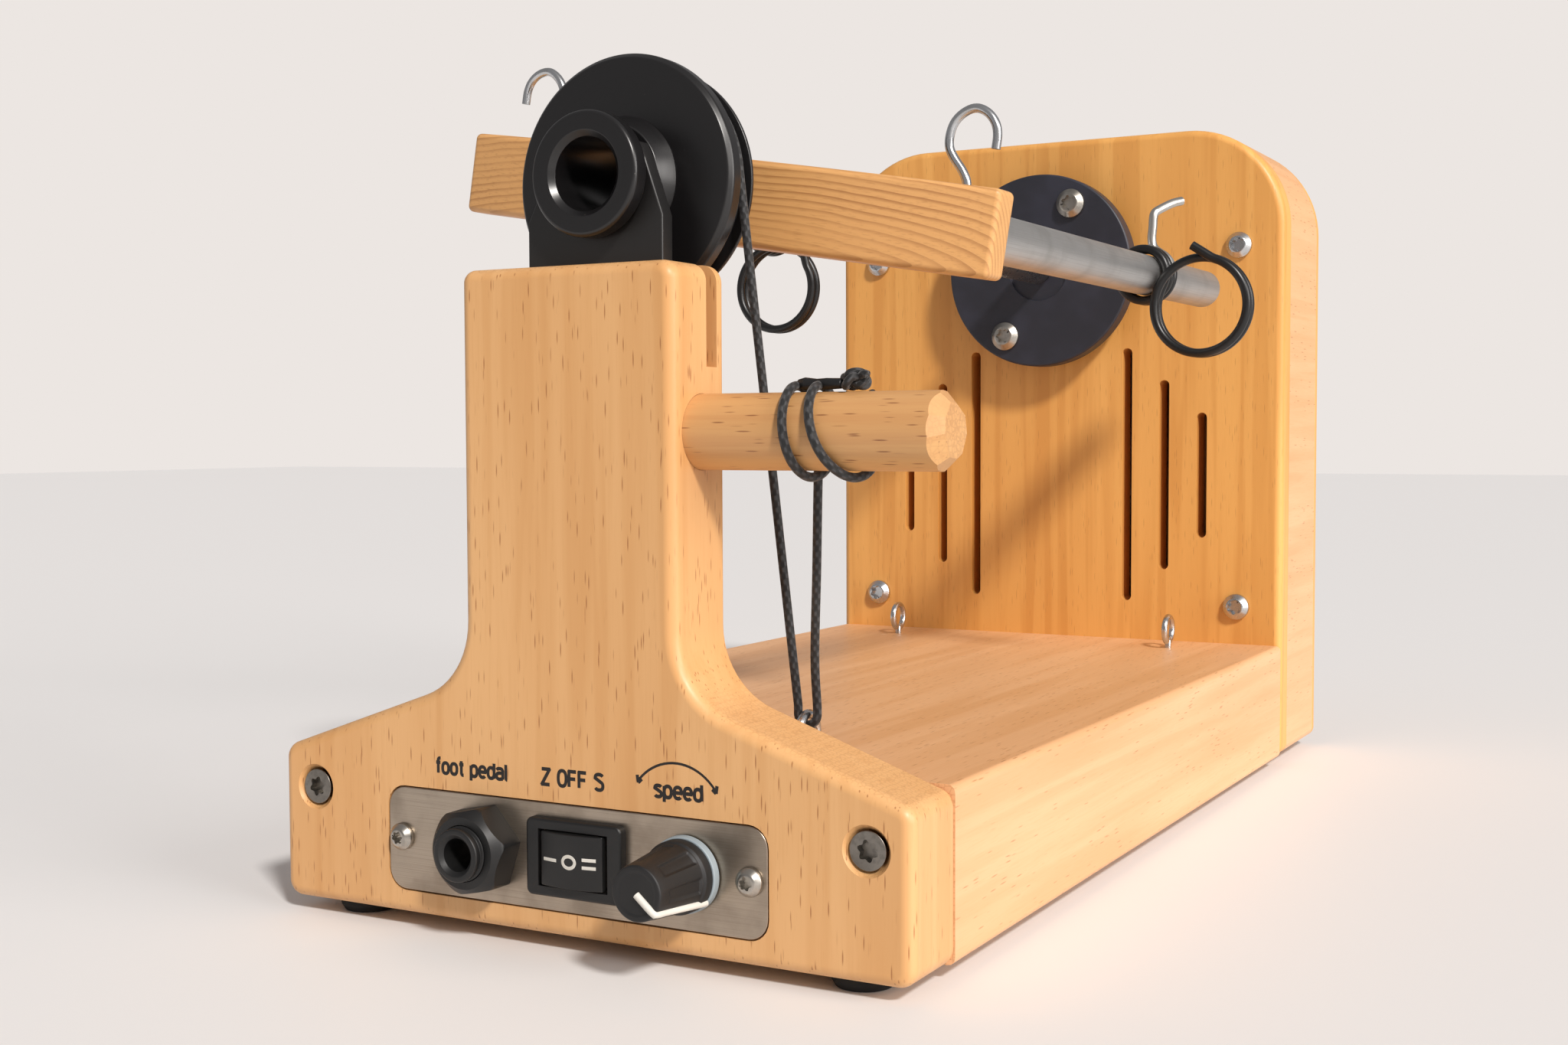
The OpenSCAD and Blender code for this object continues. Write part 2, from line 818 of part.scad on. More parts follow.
module vent(x, length) {
    z = motor_z;
    for (side = [-1, 1]) {
        rod_y(x, z + side * (length - vent_w) / 2, box_front_y - 1, panel_back_y + 1, vent_w / 2);
    }
    block(
        [x - vent_w / 2, box_front_y - 1, z - (length - vent_w) / 2],
        [x + vent_w / 2, panel_back_y + 1, z + (length - vent_w) / 2]
    );
}

module motor_box_front_panel() {
    color("peru")
        difference() {
            slab(box_front_y, panel_t)
                polygon(box_outline());
            for (i = [0:2])
                both_sides()
                    vent(vent_x + i * vent_pitch, vent_len - i * vent_step);
            // The spindle's hole and the seat of its front bearing
            rod_y(0, axis_z, box_front_y - 1, panel_back_y, bearing_bore_r + 4);
            rod_y(0, axis_z, front_bearing_y, panel_back_y + 1, bearing_r);
            for (p = panel_screw_places())
                rod_y(p[0], p[1], box_front_y - 1, panel_back_y + 1, box_screw_r + screw_play);
            for (p = standoffs)
                both_sides()
                    rod_y(p[0], p[1], panel_back_y - 5, panel_back_y + 1, standoff_r / 2);
            block(
                [-passage_w / 2, box_front_y - 1, inner_floor_z],
                [passage_w / 2, panel_back_y + 1, inner_floor_z + passage_h]
            );
        }
}

module front_panel_screws() {
    color("gray")
        for (p = panel_screw_places())
            pan_screw(p[0], p[1], box_front_y, box_screw_head_r, 2.6, box_screw_r, panel_t + 12);
}

module motor_box_back_cover() {
    color("peru")
        difference() {
            slab(cover_front_y, cover_t)
                polygon(box_outline());
            for (p = panel_screw_places())
                rod_y(p[0], p[1], cover_front_y - 1, back_y + 1, box_screw_r + screw_play);
            rod_y(inlet_x, bottom_z + inlet_h, cover_front_y - 1, back_y + 1, inlet_bush_r + 0.2);
        }
}

module back_cover_screws() {
    color("gray")
        for (p = panel_screw_places())
            translate([p[0], back_y, p[1]])
                rotate([0, 0, 180])
                    pan_screw(0, 0, 0, box_screw_head_r, 2.6, box_screw_r, cover_t + 9);
}

module control_plate() {
    color("silver")
        difference() {
            slab(front_y, plate_t)
                polygon(plate_outline(0));
            rod_y(-jack_x, control_z, front_y - 1, front_y + plate_t + 1, jack_bush_r + 0.1);
            block(
                [switch_x - switch_body_w / 2 - 0.1, front_y - 1, control_z - switch_body_h / 2 - 0.1],
                [
                    switch_x + switch_body_w / 2 + 0.1, front_y + plate_t + 1,
                    control_z + switch_body_h / 2 + 0.1
                ]
            );
            rod_y(knob_x, control_z, front_y - 1, front_y + plate_t + 1, pot_bush_r + 0.1);
            both_sides()
                rod_y(
                    plate_w / 2 - plate_screw_inset, control_z, front_y - 1,
                    front_y + plate_t + 1, plate_screw_r + screw_play
                );
        }
}

module control_plate_screws() {
    color("lightgray")
        both_sides()
            pan_screw(
                plate_w / 2 - plate_screw_inset, control_z, front_y, plate_screw_head_r, 1.9,
                plate_screw_r, 12
            );
}

module jack_body() {
    behind = front_y + plate_t;
    color("black")
        difference() {
            union() {
                block(
                    [-jack_x - jack_body_w / 2, behind, control_z - jack_body_w / 2],
                    [-jack_x + jack_body_w / 2, behind + jack_body_len, control_z + jack_body_w / 2]
                );
                rod_y(-jack_x, control_z, front_y - jack_bush_out, behind + 0.01, jack_bush_r);
            }
            rod_y(
                -jack_x, control_z, front_y - jack_bush_out - 1, behind + jack_body_len - 2,
                jack_hole_r
            );
            cone_y(
                -jack_x, control_z, front_y - jack_bush_out - 0.01,
                front_y - jack_bush_out + 0.8, jack_hole_r + 0.8, jack_hole_r
            );
        }
}

module jack_nut() {
    color("black")
        difference() {
            translate([-jack_x, front_y - jack_nut_t, control_z])
                rotate([-90, 0, 0])
                    cylinder(h = jack_nut_t, r = jack_nut_w * hex_face, $fn = 6);
            rod_y(-jack_x, control_z, front_y - jack_nut_t - 1, front_y + 1, jack_bush_r + 0.02);
        }
}

module switch_housing() {
    behind = front_y + plate_t;
    color("black")
        difference() {
            union() {
                block(
                    [switch_x - bezel_w / 2, front_y - bezel_out, control_z - bezel_h / 2],
                    [switch_x + bezel_w / 2, front_y, control_z + bezel_h / 2]
                );
                block(
                    [switch_x - switch_body_w / 2, front_y - 0.01, control_z - switch_body_h / 2],
                    [
                        switch_x + switch_body_w / 2, front_y + switch_body_len,
                        control_z + switch_body_h / 2
                    ]
                );
            }
            block(
                [
                    switch_x - rocker_w / 2 - rocker_gap, front_y - bezel_out - 1,
                    control_z - rocker_h / 2 - 0.3
                ],
                [
                    switch_x + rocker_w / 2 + rocker_gap, rocker_y + 4.5,
                    control_z + rocker_h / 2 + 0.3
                ]
            );
            rod_z(
                switch_x, rocker_y, control_z - rocker_h / 2 - rocker_pin_len,
                control_z + rocker_h / 2 + rocker_pin_len, rocker_pin_r + 0.04
            );
        }
}

module switch_rocker() {
    crest_r = 26;
    color("black")
        translate([switch_x, rocker_y, control_z]) {
            intersection() {
                block(
                    [-rocker_w / 2, -rocker_depth - 1, -rocker_h / 2],
                    [rocker_w / 2, 2.6, rocker_h / 2]
                );
                rod_z(0, crest_r - rocker_depth, -rocker_h / 2, rocker_h / 2, crest_r);
            }
            rod_z(
                0, 0, -rocker_h / 2 - rocker_pin_len + 0.1, rocker_h / 2 + rocker_pin_len - 0.1,
                rocker_pin_r
            );
        }
}

pot_bush_r = pot_shaft_r + 0.5;
pot_len = 9;
knob_bore_len = 10;

module speed_pot() {
    behind = front_y + plate_t;
    color("silver")
        difference() {
            union() {
                rod_y(knob_x, control_z, behind, behind + pot_len, pot_r);
                rod_y(knob_x, control_z, front_y - 2.4, behind + 0.01, pot_bush_r);
            }
            rod_y(knob_x, control_z, front_y - 3, behind + pot_len - 1.5, pot_shaft_r + 0.05);
        }
}

module pot_nut() {
    color("silver")
        difference() {
            translate([knob_x, front_y - 1.8, control_z])
                rotate([-90, 0, 0])
                    cylinder(h = 1.8, r = 8.4 * hex_face, $fn = 6);
            rod_y(knob_x, control_z, front_y - 3, front_y + 1, pot_bush_r + 0.02);
        }
}

module pot_shaft() {
    color("silver")
        rod_y(knob_x, control_z, knob_y - collar_t - knob_bore_len, front_y + plate_t + pot_len - 2,
            pot_shaft_r);
}

module speed_knob() {
    face_y = knob_y - collar_t - knob_len;
    flutes = 12;
    flute_r = 1.1;
    color("black")
        translate([knob_x, knob_y - collar_t, control_z])
            rotate([90, 0, 0])
                difference() {
                    rotate_extrude()
                        polygon([
                            [0, 0], [knob_foot_r, 0], [knob_foot_r, 1.2], [knob_foot_r - 0.5, 2],
                            [knob_top_r + 0.4, knob_len - 0.8], [knob_top_r - 0.3, knob_len],
                            [0, knob_len]
                        ]);
                    translate([0, 0, -1])
                        cylinder(h = 1 + knob_bore_len, r = pot_shaft_r + 0.02);
                    translate([0, 0, -1])
                        cylinder(h = 2.4, r = 5.3);
                    for (i = [0:flutes - 1])
                        rotate([0, 0, i * 360 / flutes])
                            translate([knob_foot_r + 0.35, 0, 3])
                                rotate([0, -atan((knob_foot_r - knob_top_r) / knob_len), 0])
                                    cylinder(h = knob_len, r = flute_r);
                }
}

module knob_collar() {
    color("lightgray")
        difference() {
            rod_y(knob_x, control_z, knob_y - collar_t, knob_y, collar_r);
            rod_y(knob_x, control_z, knob_y - collar_t - 1, knob_y + 1, 5.6);
        }
}

module bearing_fork() {
    waist_x = cradle_r + 2.4;
    tip_x = cradle_r + fork_tip_t;
    color("dimgray")
        difference() {
            slab(fork_y, fork_t)
                polygon([
                    [-fork_w / 2, slot_z],
                    [fork_w / 2, slot_z],
                    [fork_w / 2, axis_z - fork_straight],
                    [waist_x, axis_z + 2.7],
                    [tip_x, axis_z + fork_tip],
                    [-tip_x, axis_z + fork_tip],
                    [-waist_x, axis_z + 2.7],
                    [-fork_w / 2, axis_z - fork_straight]
                ]);
            rod_y(0, axis_z, fork_y - 1, fork_back_y + 1, cradle_r);
            block(
                [-cradle_r, fork_y - 1, axis_z],
                [cradle_r, fork_back_y + 1, axis_z + fork_tip + 1]
            );
        }
}

module tension_peg() {
    color("burlywood")
        difference() {
            union() {
                rod_x(peg_y, peg_z, peg_start_x, peg_end_x - peg_chamfer, peg_r);
                translate([peg_end_x - peg_chamfer, peg_y, peg_z])
                    rotate([0, 90, 0])
                        cylinder(h = peg_chamfer, r1 = peg_r, r2 = peg_r - peg_chamfer);
            }
            rod_x(peg_y, peg_z, peg_start_x - 1, peg_start_x + 13, peg_screw_r);
        }
}

module peg_end_screw() {
    face_x = -post_w / 2;
    dome_r = (peg_dome_r * peg_dome_r + peg_dome_h * peg_dome_h) / (2 * peg_dome_h);
    color("black")
        union() {
            intersection() {
                translate([face_x - peg_dome_h + dome_r, peg_y, peg_z])
                    sphere(r = dome_r);
                rod_x(peg_y, peg_z, face_x - peg_dome_h, face_x, peg_dome_r + 1);
            }
            rod_x(peg_y, peg_z, face_x - 0.01, peg_start_x + 12, peg_screw_r);
        }
}

// The cord's turns round the peg, from the back of the peg over its top
function turn_point(a) =
    [
        turn_mid_x + lookup(a, turn_run),
        peg_y + turn_r * cos(a),
        peg_z + turn_r * sin(a)
    ];

turn_points = [for (i = [0:turn_steps]) turn_point(turn_end * i / turn_steps)];

module peg_cord_turns() {
    echo(least_gap_of_cord_turns = least_gap(turn_points, cord_r, 8));
    color("black")
        tube(turn_points, cord_r);
}

module peg_cord_sleeve() {
    z = peg_z + peg_r + cord_gap + sleeve_r;
    start = turn_mid_x + lookup(90, turn_run) + cord_r + cord_gap;
    color("black")
        difference() {
            rod_x(peg_y, z, start, start + sleeve_len, sleeve_r);
            // The saddle over the second turn
            translate([
                turn_mid_x + lookup(450, turn_run), peg_y - sleeve_r - 1,
                peg_z + peg_r + cord_gap + cord_r
            ])
                rotate([-90, 0, 0])
                    cylinder(h = 2 * sleeve_r + 2, r = cord_r + 0.15);
        }
}

module peg_cord_knot() {
    color("black")
        translate([knot_x, peg_y, peg_z + peg_r + cord_gap + 2.3])
            rotate([0, 90, 0])
                rotate_extrude()
                    polygon([
                        [0, -2.6], [1.2, -2.6], [2.1, -1.6], [1.8, -0.7], [2.3, 0.2],
                        [1.8, 1], [2, 1.8], [1.1, 2.6], [0, 2.6]
                    ]);
}

// The angle on the pulley at which the cord leaves it for the point (x, z) below
function leave_angle(x, z) =
    let(
        dx = x,
        dz = z - axis_z,
        far = norm([dx, dz])
    )
    atan2(dz, dx) + acos(cord_path_r / far);

eye_run_x = eye_front_x - hitch_r;
right_leave = leave_angle(eye_run_x, run_top);
arc_points = [
    for (i = [0:14])
        let(a = 180 - right_leave - i * (180 - 2 * right_leave) / 14)
        [cord_path_r * cos(a), cord_plane_y, axis_z + cord_path_r * sin(a)]
];
hitch_points = [
    for (i = [0:6])
        [
            eye_front_x - hitch_r * cos(i * 30), cord_plane_y,
            hitch_z - hitch_r * sin(i * 30)
        ]
];

// The run from the right eye to the back of the peg
peg_run = [
    [turn_mid_x - 9.6, cord_plane_y - 1.6, base_top_z + 20],
    [turn_mid_x - 7.6, cord_plane_y - 4.6, base_top_z + 36],
    [turn_mid_x - 5.9, peg_y + turn_r + 2, peg_z - 11],
    [turn_mid_x - 5.4, peg_y + turn_r + 1.5, peg_z - 4],
    [turn_mid_x - 5.1, peg_y + turn_r + 1.75, peg_z + 1]
];
ferrule_z = hitch_z + 7;
left_tail = [
    [-eye_front_x - hitch_r, cord_plane_y, ferrule_z + ferrule_h + 2],
    [-eye_front_x - hitch_r, cord_plane_y, run_top]
];
left_hitch = [for (i = [6:-1:0]) [-hitch_points[i][0], hitch_points[i][1], hitch_points[i][2]]];
cord_points = concat(
    left_tail,
    left_hitch,
    [[-eye_run_x, cord_plane_y, run_top]],
    arc_points,
    [[eye_run_x, cord_plane_y, run_top]],
    hitch_points,
    [[eye_front_x + hitch_r, cord_plane_y, run_top]],
    peg_run
);

module brake_cord() {
    color("black")
        tube(cord_points, cord_r);
}

// The crimped ferrule that closes the loop in the cord's left end
module cord_ferrule() {
    wall = 0.8;
    play = 0.15;
    lean = atan2(
        eye_run_x + arc_points[0][0],
        arc_points[0][2] - run_top
    );
    run_x = -eye_run_x + (ferrule_z + ferrule_h / 2 - run_top) * tan(lean);
    color("dimgray")
        difference() {
            block(
                [
                    -eye_front_x - hitch_r - cord_r - wall, cord_plane_y - cord_r - wall,
                    ferrule_z
                ],
                [run_x + cord_r + wall + 0.5, cord_plane_y + cord_r + wall, ferrule_z + ferrule_h]
            );
            rod_z(
                -eye_front_x - hitch_r, cord_plane_y, ferrule_z - 1, ferrule_z + ferrule_h + 1,
                cord_r + play
            );
            translate([run_x, cord_plane_y, ferrule_z + ferrule_h / 2])
                rotate([0, lean, 0])
                    cylinder(h = 2 * ferrule_h, r = cord_r + play, center = true);
        }
}

module screw_eye(x, y) {
    translate([x, y, eye_z])
        rotate([0, 90, 0])
            rotate_extrude()
                translate([eye_r, 0])
                    circle(r = eye_wire_r, $fn = 32);
    rod_z(x, y, base_top_z - base_top_t + 1, eye_z - eye_r, eye_wire_r - 0.02);
}

module front_cord_eyes() {
    color("silver")
        both_sides()
            screw_eye(eye_front_x, cord_plane_y);
}

module rear_cord_eyes() {
    color("silver")
        both_sides()
            screw_eye(eye_rear_x, box_front_y - eye_rear_gap);
}

// Sets a piece of the flyer, drawn round the axis and level, at the flyer's rest turn
module on_flyer() {
    translate([0, 0, axis_z])
        rotate([0, flyer_turn, 0])
            children();
}

module orifice_tube() {
    exit_y = pulley_back_y + exit_len / 2;
    bore_end = exit_y + exit_r;
    color("dimgray")
        on_flyer()
            difference() {
                union() {
                    rod_y(0, 0, flange_front_y + 0.5, flange_back_y, flange_r);
                    cone_y(0, 0, flange_front_y, flange_front_y + 0.501, flange_r - 0.5, flange_r);
                    rod_y(0, 0, flange_back_y - 0.01, hub_front_y + 0.01, neck_r);
                    cone_y(0, 0, hub_front_y, pulley_y, hub_r - 2, hub_r);
                    rod_y(0, 0, pulley_y - 0.01, bar_front_y, exit_neck_r);
                    rod_y(0, 0, bar_front_y - 0.01, bar_front_y + bar_spigot_len, bar_spigot_r);
                }
                rod_y(0, 0, flange_front_y - 1, bore_end, orifice_r);
                cone_y(
                    0, 0, flange_front_y - 0.01, flange_front_y + mouth_chamfer,
                    orifice_r + mouth_chamfer, orifice_r
                );
                rod_z(0, exit_y, -exit_neck_r - 1, exit_neck_r + 1, exit_r);
                rod_y(
                    0, 0, bar_front_y, bar_front_y + bar_spigot_len + 1, shaft_end_r + 0.02
                );
            }
}

module flyer_pulley() {
    edge = 0.7;
    color("dimgray")
        on_flyer()
            translate([0, pulley_y, 0])
                rotate([-90, 0, 0])
                    rotate_extrude()
                        polygon([
                            [exit_neck_r + 0.02, 0],
                            [pulley_r - edge, 0],
                            [pulley_r, edge],
                            [pulley_r, groove_in - 0.6],
                            [groove_r, groove_in],
                            [groove_r, groove_in + groove_w],
                            [pulley_r, groove_in + groove_w + 0.6],
                            [pulley_r, pulley_w - edge / 2],
                            [pulley_r - edge / 2, pulley_w],
                            [exit_neck_r + 0.02, pulley_w]
                        ]);
}

// The bar's front is an arc in plan
bow_r = (bar_len * bar_len / 4 + bar_bow * bar_bow) / (2 * bar_bow);

function bar_outline() =
    let(
        span = asin(bar_len / 2 / bow_r),
        front = [
            for (i = [1:15])
                let(a = -span + i * span / 8)
                [bow_r * sin(a), bar_front_y + bow_r * (1 - cos(a)), 0]
        ]
    )
    rounded(
        concat(
            [[-bar_len / 2, bar_front_y + bar_bow, bar_corner_r]],
            front,
            [
                [bar_len / 2, bar_front_y + bar_bow, bar_corner_r],
                [bar_len / 2, bar_back_y, bar_corner_r],
                [-bar_len / 2, bar_back_y, bar_corner_r]
            ]
        ),
        5
    );

module flyer_bar() {
    color("sandybrown")
        on_flyer()
            difference() {
                translate([0, 0, -bar_h / 2])
                    linear_extrude(bar_h)
                        polygon(bar_outline());
                rod_y(0, 0, bar_front_y - 1, bar_front_y + bar_spigot_len, bar_spigot_r + 0.02);
                rod_y(0, 0, bar_front_y, bar_back_y + 1, shaft_end_r + 0.02);
                both_sides()
                    rod_y(arm_x, 0, arm_start_y, bar_back_y + 1, arm_r + 0.02);
                for (x = [hook_right_x, -hook_left_x])
                    rod_z(x, hook_y, bar_h / 2 - 5.5, bar_h / 2 + 1, hook_wire_r + 0.02);
            }
}

module flyer_arm(side) {
    color("lightgray")
        on_flyer()
            difference() {
                rod_y(side * arm_x, 0, arm_start_y, arm_end_y, arm_r);
                rod_y(side * arm_x, 0, arm_start_y - 1, arm_end_y + 1, arm_r - arm_wall);
            }
}

module flyer_shaft() {
    color("silver")
        on_flyer() {
            rod_y(0, 0, bar_front_y + 0.5, shaft_tip_y, shaft_end_r);
            rod_y(0, 0, bar_back_y, disc_y - shaft_shoulder_gap, shaft_r);
        }
}

hook_y = bar_back_y - 5;

// A cup hook's wire, drawn from its foot in the bar to its tip
hook_shape = [
    [0, -2.6], [0, -1.5], [-0.1, 0.6], [-1.4, 2.8], [-3.4, 4.9], [-4.9, 7],
    [-5.2, 9.4], [-4.6, 12], [-2.9, 14], [-0.5, 15.1], [2.1, 14.4], [4, 12.6],
    [4.8, 10.4], [4.9, 7.6]
];

module cup_hook(x, side) {
    tube(
        [for (q = hook_shape) [x + side * q[0], hook_y, bar_h / 2 + q[1]]],
        hook_wire_r
    );
}

module flyer_hooks() {
    color("silver")
        on_flyer() {
            cup_hook(hook_right_x, 1);
            cup_hook(-hook_left_x, -1);
        }
}

// The guide's wire: a tail, the yarn ring, a coil round the arm and a thumb lever
coil_r = arm_r + guide_gap + guide_wire_r;
guide_pitch = 2 * guide_wire_r + guide_turn_gap;
ring_reach = coil_r + guide_ring_r;
ring_turns = 1.78;
ring_start = 180 + ring_turns * 360;
coil_turns = 2.26;

function ring_xy(a) = [ring_reach + guide_ring_r * cos(a), guide_ring_r * sin(a)];

guide_tail = [
    for (d = [6, 3])
        let(q = ring_xy(ring_start) + d * [cos(ring_start + 74), sin(ring_start + 74)])
        [q[0], -guide_pitch * ring_turns - 0.35 * d / 6, q[1]]
];
guide_ring = [
    for (i = [0:34])
        let(
            a = ring_start - i * ring_turns * 360 / 34,
            q = ring_xy(a)
        )
        [q[0], -guide_pitch * ring_turns * (1 - i / 34), q[1]]
];
guide_coil = [
    for (i = [1:28])
        let(a = i * coil_turns * 360 / 28)
        [coil_r * cos(a), guide_pitch * coil_turns * i / 28, coil_r * sin(a)]
];
coil_end_y = guide_pitch * coil_turns;
guide_lever = [
    [-2.4, coil_end_y + 0.3, coil_r + 0.5],
    [-3.9, coil_end_y + 0.4, coil_r + 2.2],
    [-5, coil_end_y + 0.5, lever_h - 3.4],
    [-6.4, coil_end_y + 0.8, lever_h - 0.3],
    [-6.2, coil_end_y + 2.2, lever_h + 1.2],
    [-4.9, coil_end_y + lever_len * 0.7, lever_h + 4],
    [-3.8, coil_end_y + lever_len, lever_h + 5.4]
];
guide_points = concat(guide_tail, guide_ring, guide_coil, guide_lever);

module guide(x, y, turn) {
    on_flyer()
        translate([x, y, 0])
            rotate([0, turn, 0])
                tube(guide_points, guide_wire_r);
}

guide_right_turn = 18.5;
guide_left_turn = 62;

module guide_right() {
    echo(least_gap_of_guide_wire = least_gap(guide_points, guide_wire_r, 9));
    color("dimgray")
        guide(arm_x, guide_y, guide_right_turn);
}

module guide_left() {
    color("dimgray")
        guide(-arm_x, guide_y + guide_left_more, guide_left_turn);
}

module drive_disc() {
    edge = 0.6;
    color("darkslategray")
        difference() {
            union() {
                rod_y(0, axis_z, disc_y + edge, disc_back_y - edge, disc_r);
                cone_y(0, axis_z, disc_y, disc_y + edge + 0.001, disc_r - edge, disc_r);
                cone_y(0, axis_z, disc_back_y - edge - 0.001, disc_back_y, disc_r, disc_r - edge);
                rod_y(0, axis_z, disc_back_y - 0.01, disc_back_y + disc_hub_len, disc_hub_r);
            }
            rod_y(0, axis_z, disc_y - 1, disc_y + 1, 9);
            rod_y(0, axis_z, disc_y, disc_y + shaft_pocket + 0.1, shaft_end_r + shaft_tip_play);
            rod_y(
                0, axis_z, disc_y + shaft_pocket, disc_back_y + disc_hub_len + 1, bearing_bore_r
            );
            for (p = drive_screw_places())
                rod_y(p[0], p[1], disc_y - 1, disc_y + 5, box_screw_r);
        }
}

function drive_screw_places() =
    [for (side = [0, 180])
        [
            drive_screw_r * cos(drive_screw_angle + side),
            axis_z + drive_screw_r * sin(drive_screw_angle + side)
        ]];

module drive_disc_screws() {
    color("gray")
        for (p = drive_screw_places())
            pan_screw(p[0], p[1], disc_y, box_screw_head_r, 3, box_screw_r, 4.8);
}

module drive_spindle() {
    color("silver")
        rod_y(
            0, axis_z, disc_y + shaft_pocket + 0.2, belt_pulley_y + belt_pulley_w,
            bearing_bore_r - 0.02
        );
}

module belt_pulley(z, r, bore) {
    rim = 0.8;
    lip = 1.3;
    color("lightgray")
        translate([0, belt_pulley_y, z])
            rotate([-90, 0, 0])
                rotate_extrude()
                    polygon([
                        [bore, 0],
                        [r + lip, 0],
                        [r + lip, rim],
                        [r, rim],
                        [r, belt_pulley_w - rim],
                        [r + lip, belt_pulley_w - rim],
                        [r + lip, belt_pulley_w],
                        [bore, belt_pulley_w]
                    ]);
}

module driven_pulley() {
    belt_pulley(axis_z, driven_r, bearing_bore_r);
}

module motor_pulley() {
    belt_pulley(motor_z, driver_r, motor_shaft_r);
}

// The loop round both pulleys, at a distance from their rims
function belt_outline(grow) =
    let(
        a = asin((driven_r - driver_r) / motor_drop),
        top = driven_r + grow,
        low = driver_r + grow
    )
    concat(
        [for (i = [0:24]) let(b = -a + i * (180 + 2 * a) / 24) [top * cos(b), axis_z + top * sin(b)]],
        [
            for (i = [0:16])
                let(b = 180 + a + i * (180 - 2 * a) / 16)
                [low * cos(b), motor_z + low * sin(b)]
        ]
    );

module drive_belt() {
    color("black")
        slab(belt_y, belt_w)
            difference() {
                polygon(belt_outline(cord_gap + belt_t));
                polygon(belt_outline(cord_gap));
            }
}

module motor_shaft() {
    color("silver")
        rod_y(
            0, motor_z, motor_plate_y - motor_len + 2, belt_pulley_y + belt_pulley_w,
            motor_shaft_r - 0.02
        );
}

module motor_body() {
    color("gray")
        difference() {
            union() {
                rod_y(0, motor_z, motor_plate_y - motor_len, motor_plate_y, motor_r);
                rod_y(0, motor_z, motor_plate_y - 0.01, motor_plate_back_y, motor_boss_r);
            }
            rod_y(
                0, motor_z, motor_plate_y - motor_len + 1, motor_plate_back_y + 1,
                motor_shaft_r + 0.04
            );
            for (p = motor_screw_places())
                rod_y(p[0], p[1], motor_plate_y - 5, motor_plate_y + 1, small_screw_r);
        }
}

function motor_screw_places() =
    [for (i = [0:3]) [14 * cos(45 + i * 90), motor_z + 14 * sin(45 + i * 90)]];

module motor_plate() {
    top = axis_z + housing_r;
    low = motor_z - 39;
    color("lightgray")
        difference() {
            slab(motor_plate_y, motor_plate_t)
                polygon(rounded(
                    [
                        [-23, low, 4], [23, low, 4], [26, standoff_high[1] + 6, 4],
                        [12, top + 2, 6], [-12, top + 2, 6], [-26, standoff_high[1] + 6, 4]
                    ],
                    5
                ));
            rod_y(0, motor_z, motor_plate_y - 1, motor_plate_back_y + 1, motor_boss_r + 0.1);
            rod_y(0, axis_z, motor_plate_y - 1, motor_plate_back_y + 1, bearing_r - 2);
            for (p = motor_screw_places())
                rod_y(p[0], p[1], motor_plate_y - 1, motor_plate_back_y + 1, small_screw_r + 0.2);
            for (p = standoffs)
                both_sides()
                    rod_y(p[0], p[1], motor_plate_y - 1, motor_plate_back_y + 1, standoff_r / 2 + 0.1);
        }
}

module motor_plate_standoffs() {
    color("silver")
        for (p = standoffs)
            both_sides() {
                rod_y(p[0], p[1], panel_back_y, motor_plate_y, standoff_r);
                rod_y(p[0], p[1], panel_back_y - 4.8, panel_back_y + 0.01, standoff_r / 2 - 0.02);
                rod_y(p[0], p[1], motor_plate_y - 0.01, motor_plate_back_y + 1.6, standoff_r / 2);
            }
}

module motor_screws() {
    color("dimgray")
        for (p = motor_screw_places())
            translate([p[0], motor_plate_back_y, p[1]])
                rotate([0, 0, 180])
                    pan_screw(0, 0, 0, 2.7, 1.6, small_screw_r - 0.02, 6);
}

module spindle_bearings() {
    color("lightgray")
        for (y = [front_bearing_y, rear_bearing_y])
            difference() {
                rod_y(0, axis_z, y, y + bearing_w, bearing_r - 0.02);
                rod_y(0, axis_z, y - 1, y + bearing_w + 1, bearing_bore_r + 0.02);
            }
}

module bearing_housing() {
    color("silver")
        difference() {
            rod_y(0, axis_z, rear_bearing_y - 1, motor_plate_y, housing_r);
            rod_y(0, axis_z, rear_bearing_y - 2, motor_plate_y + 1, bearing_r - 2);
            rod_y(0, axis_z, rear_bearing_y, motor_plate_y + 1, bearing_r);
        }
}

pcb_y = board_back_y + pcb_front;
pcb_z = bottom_z + bottom_t + pcb_stand;

module controller_board() {
    top = pcb_z + pcb_t;
    color("darkgreen")
        difference() {
            union() {
                block([-pcb_w / 2, pcb_y, pcb_z], [pcb_w / 2, pcb_y + pcb_len, top]);
                // Leads' sockets front and rear
                block([-24, pcb_y + 1, top - 0.01], [24, pcb_y + 7, top + 5]);
                block([-8, pcb_y + pcb_len - 8, top - 0.01], [20, pcb_y + pcb_len - 1, top + 5]);
                rod_z(-16, pcb_y + 26, top - 0.01, top + 9, 5);
                block([-3, pcb_y + 16, top - 0.01], [13, pcb_y + 28, top + 2]);
                block([18, pcb_y + 14, top - 0.01], [25, pcb_y + 30, top + 7]);
            }
            for (p = pcb_screw_places())
                rod_z(p[0], p[1], pcb_z - 1, top + 6, small_screw_r + 0.1);
        }
}

function pcb_screw_places() =
    [for (x = [-1, 1]) for (y = [11, pcb_len - 4])
        [x * (pcb_w / 2 - 3.5), pcb_y + y]];

module board_standoffs() {
    color("white")
        for (p = pcb_screw_places()) {
            rod_z(p[0], p[1], bottom_z + bottom_t, pcb_z, 3);
            rod_z(p[0], p[1], pcb_z - 0.01, pcb_z + pcb_t + 1.5, small_screw_r);
        }
}

inlet_bush_r = 4;
inlet_body_len = 10;

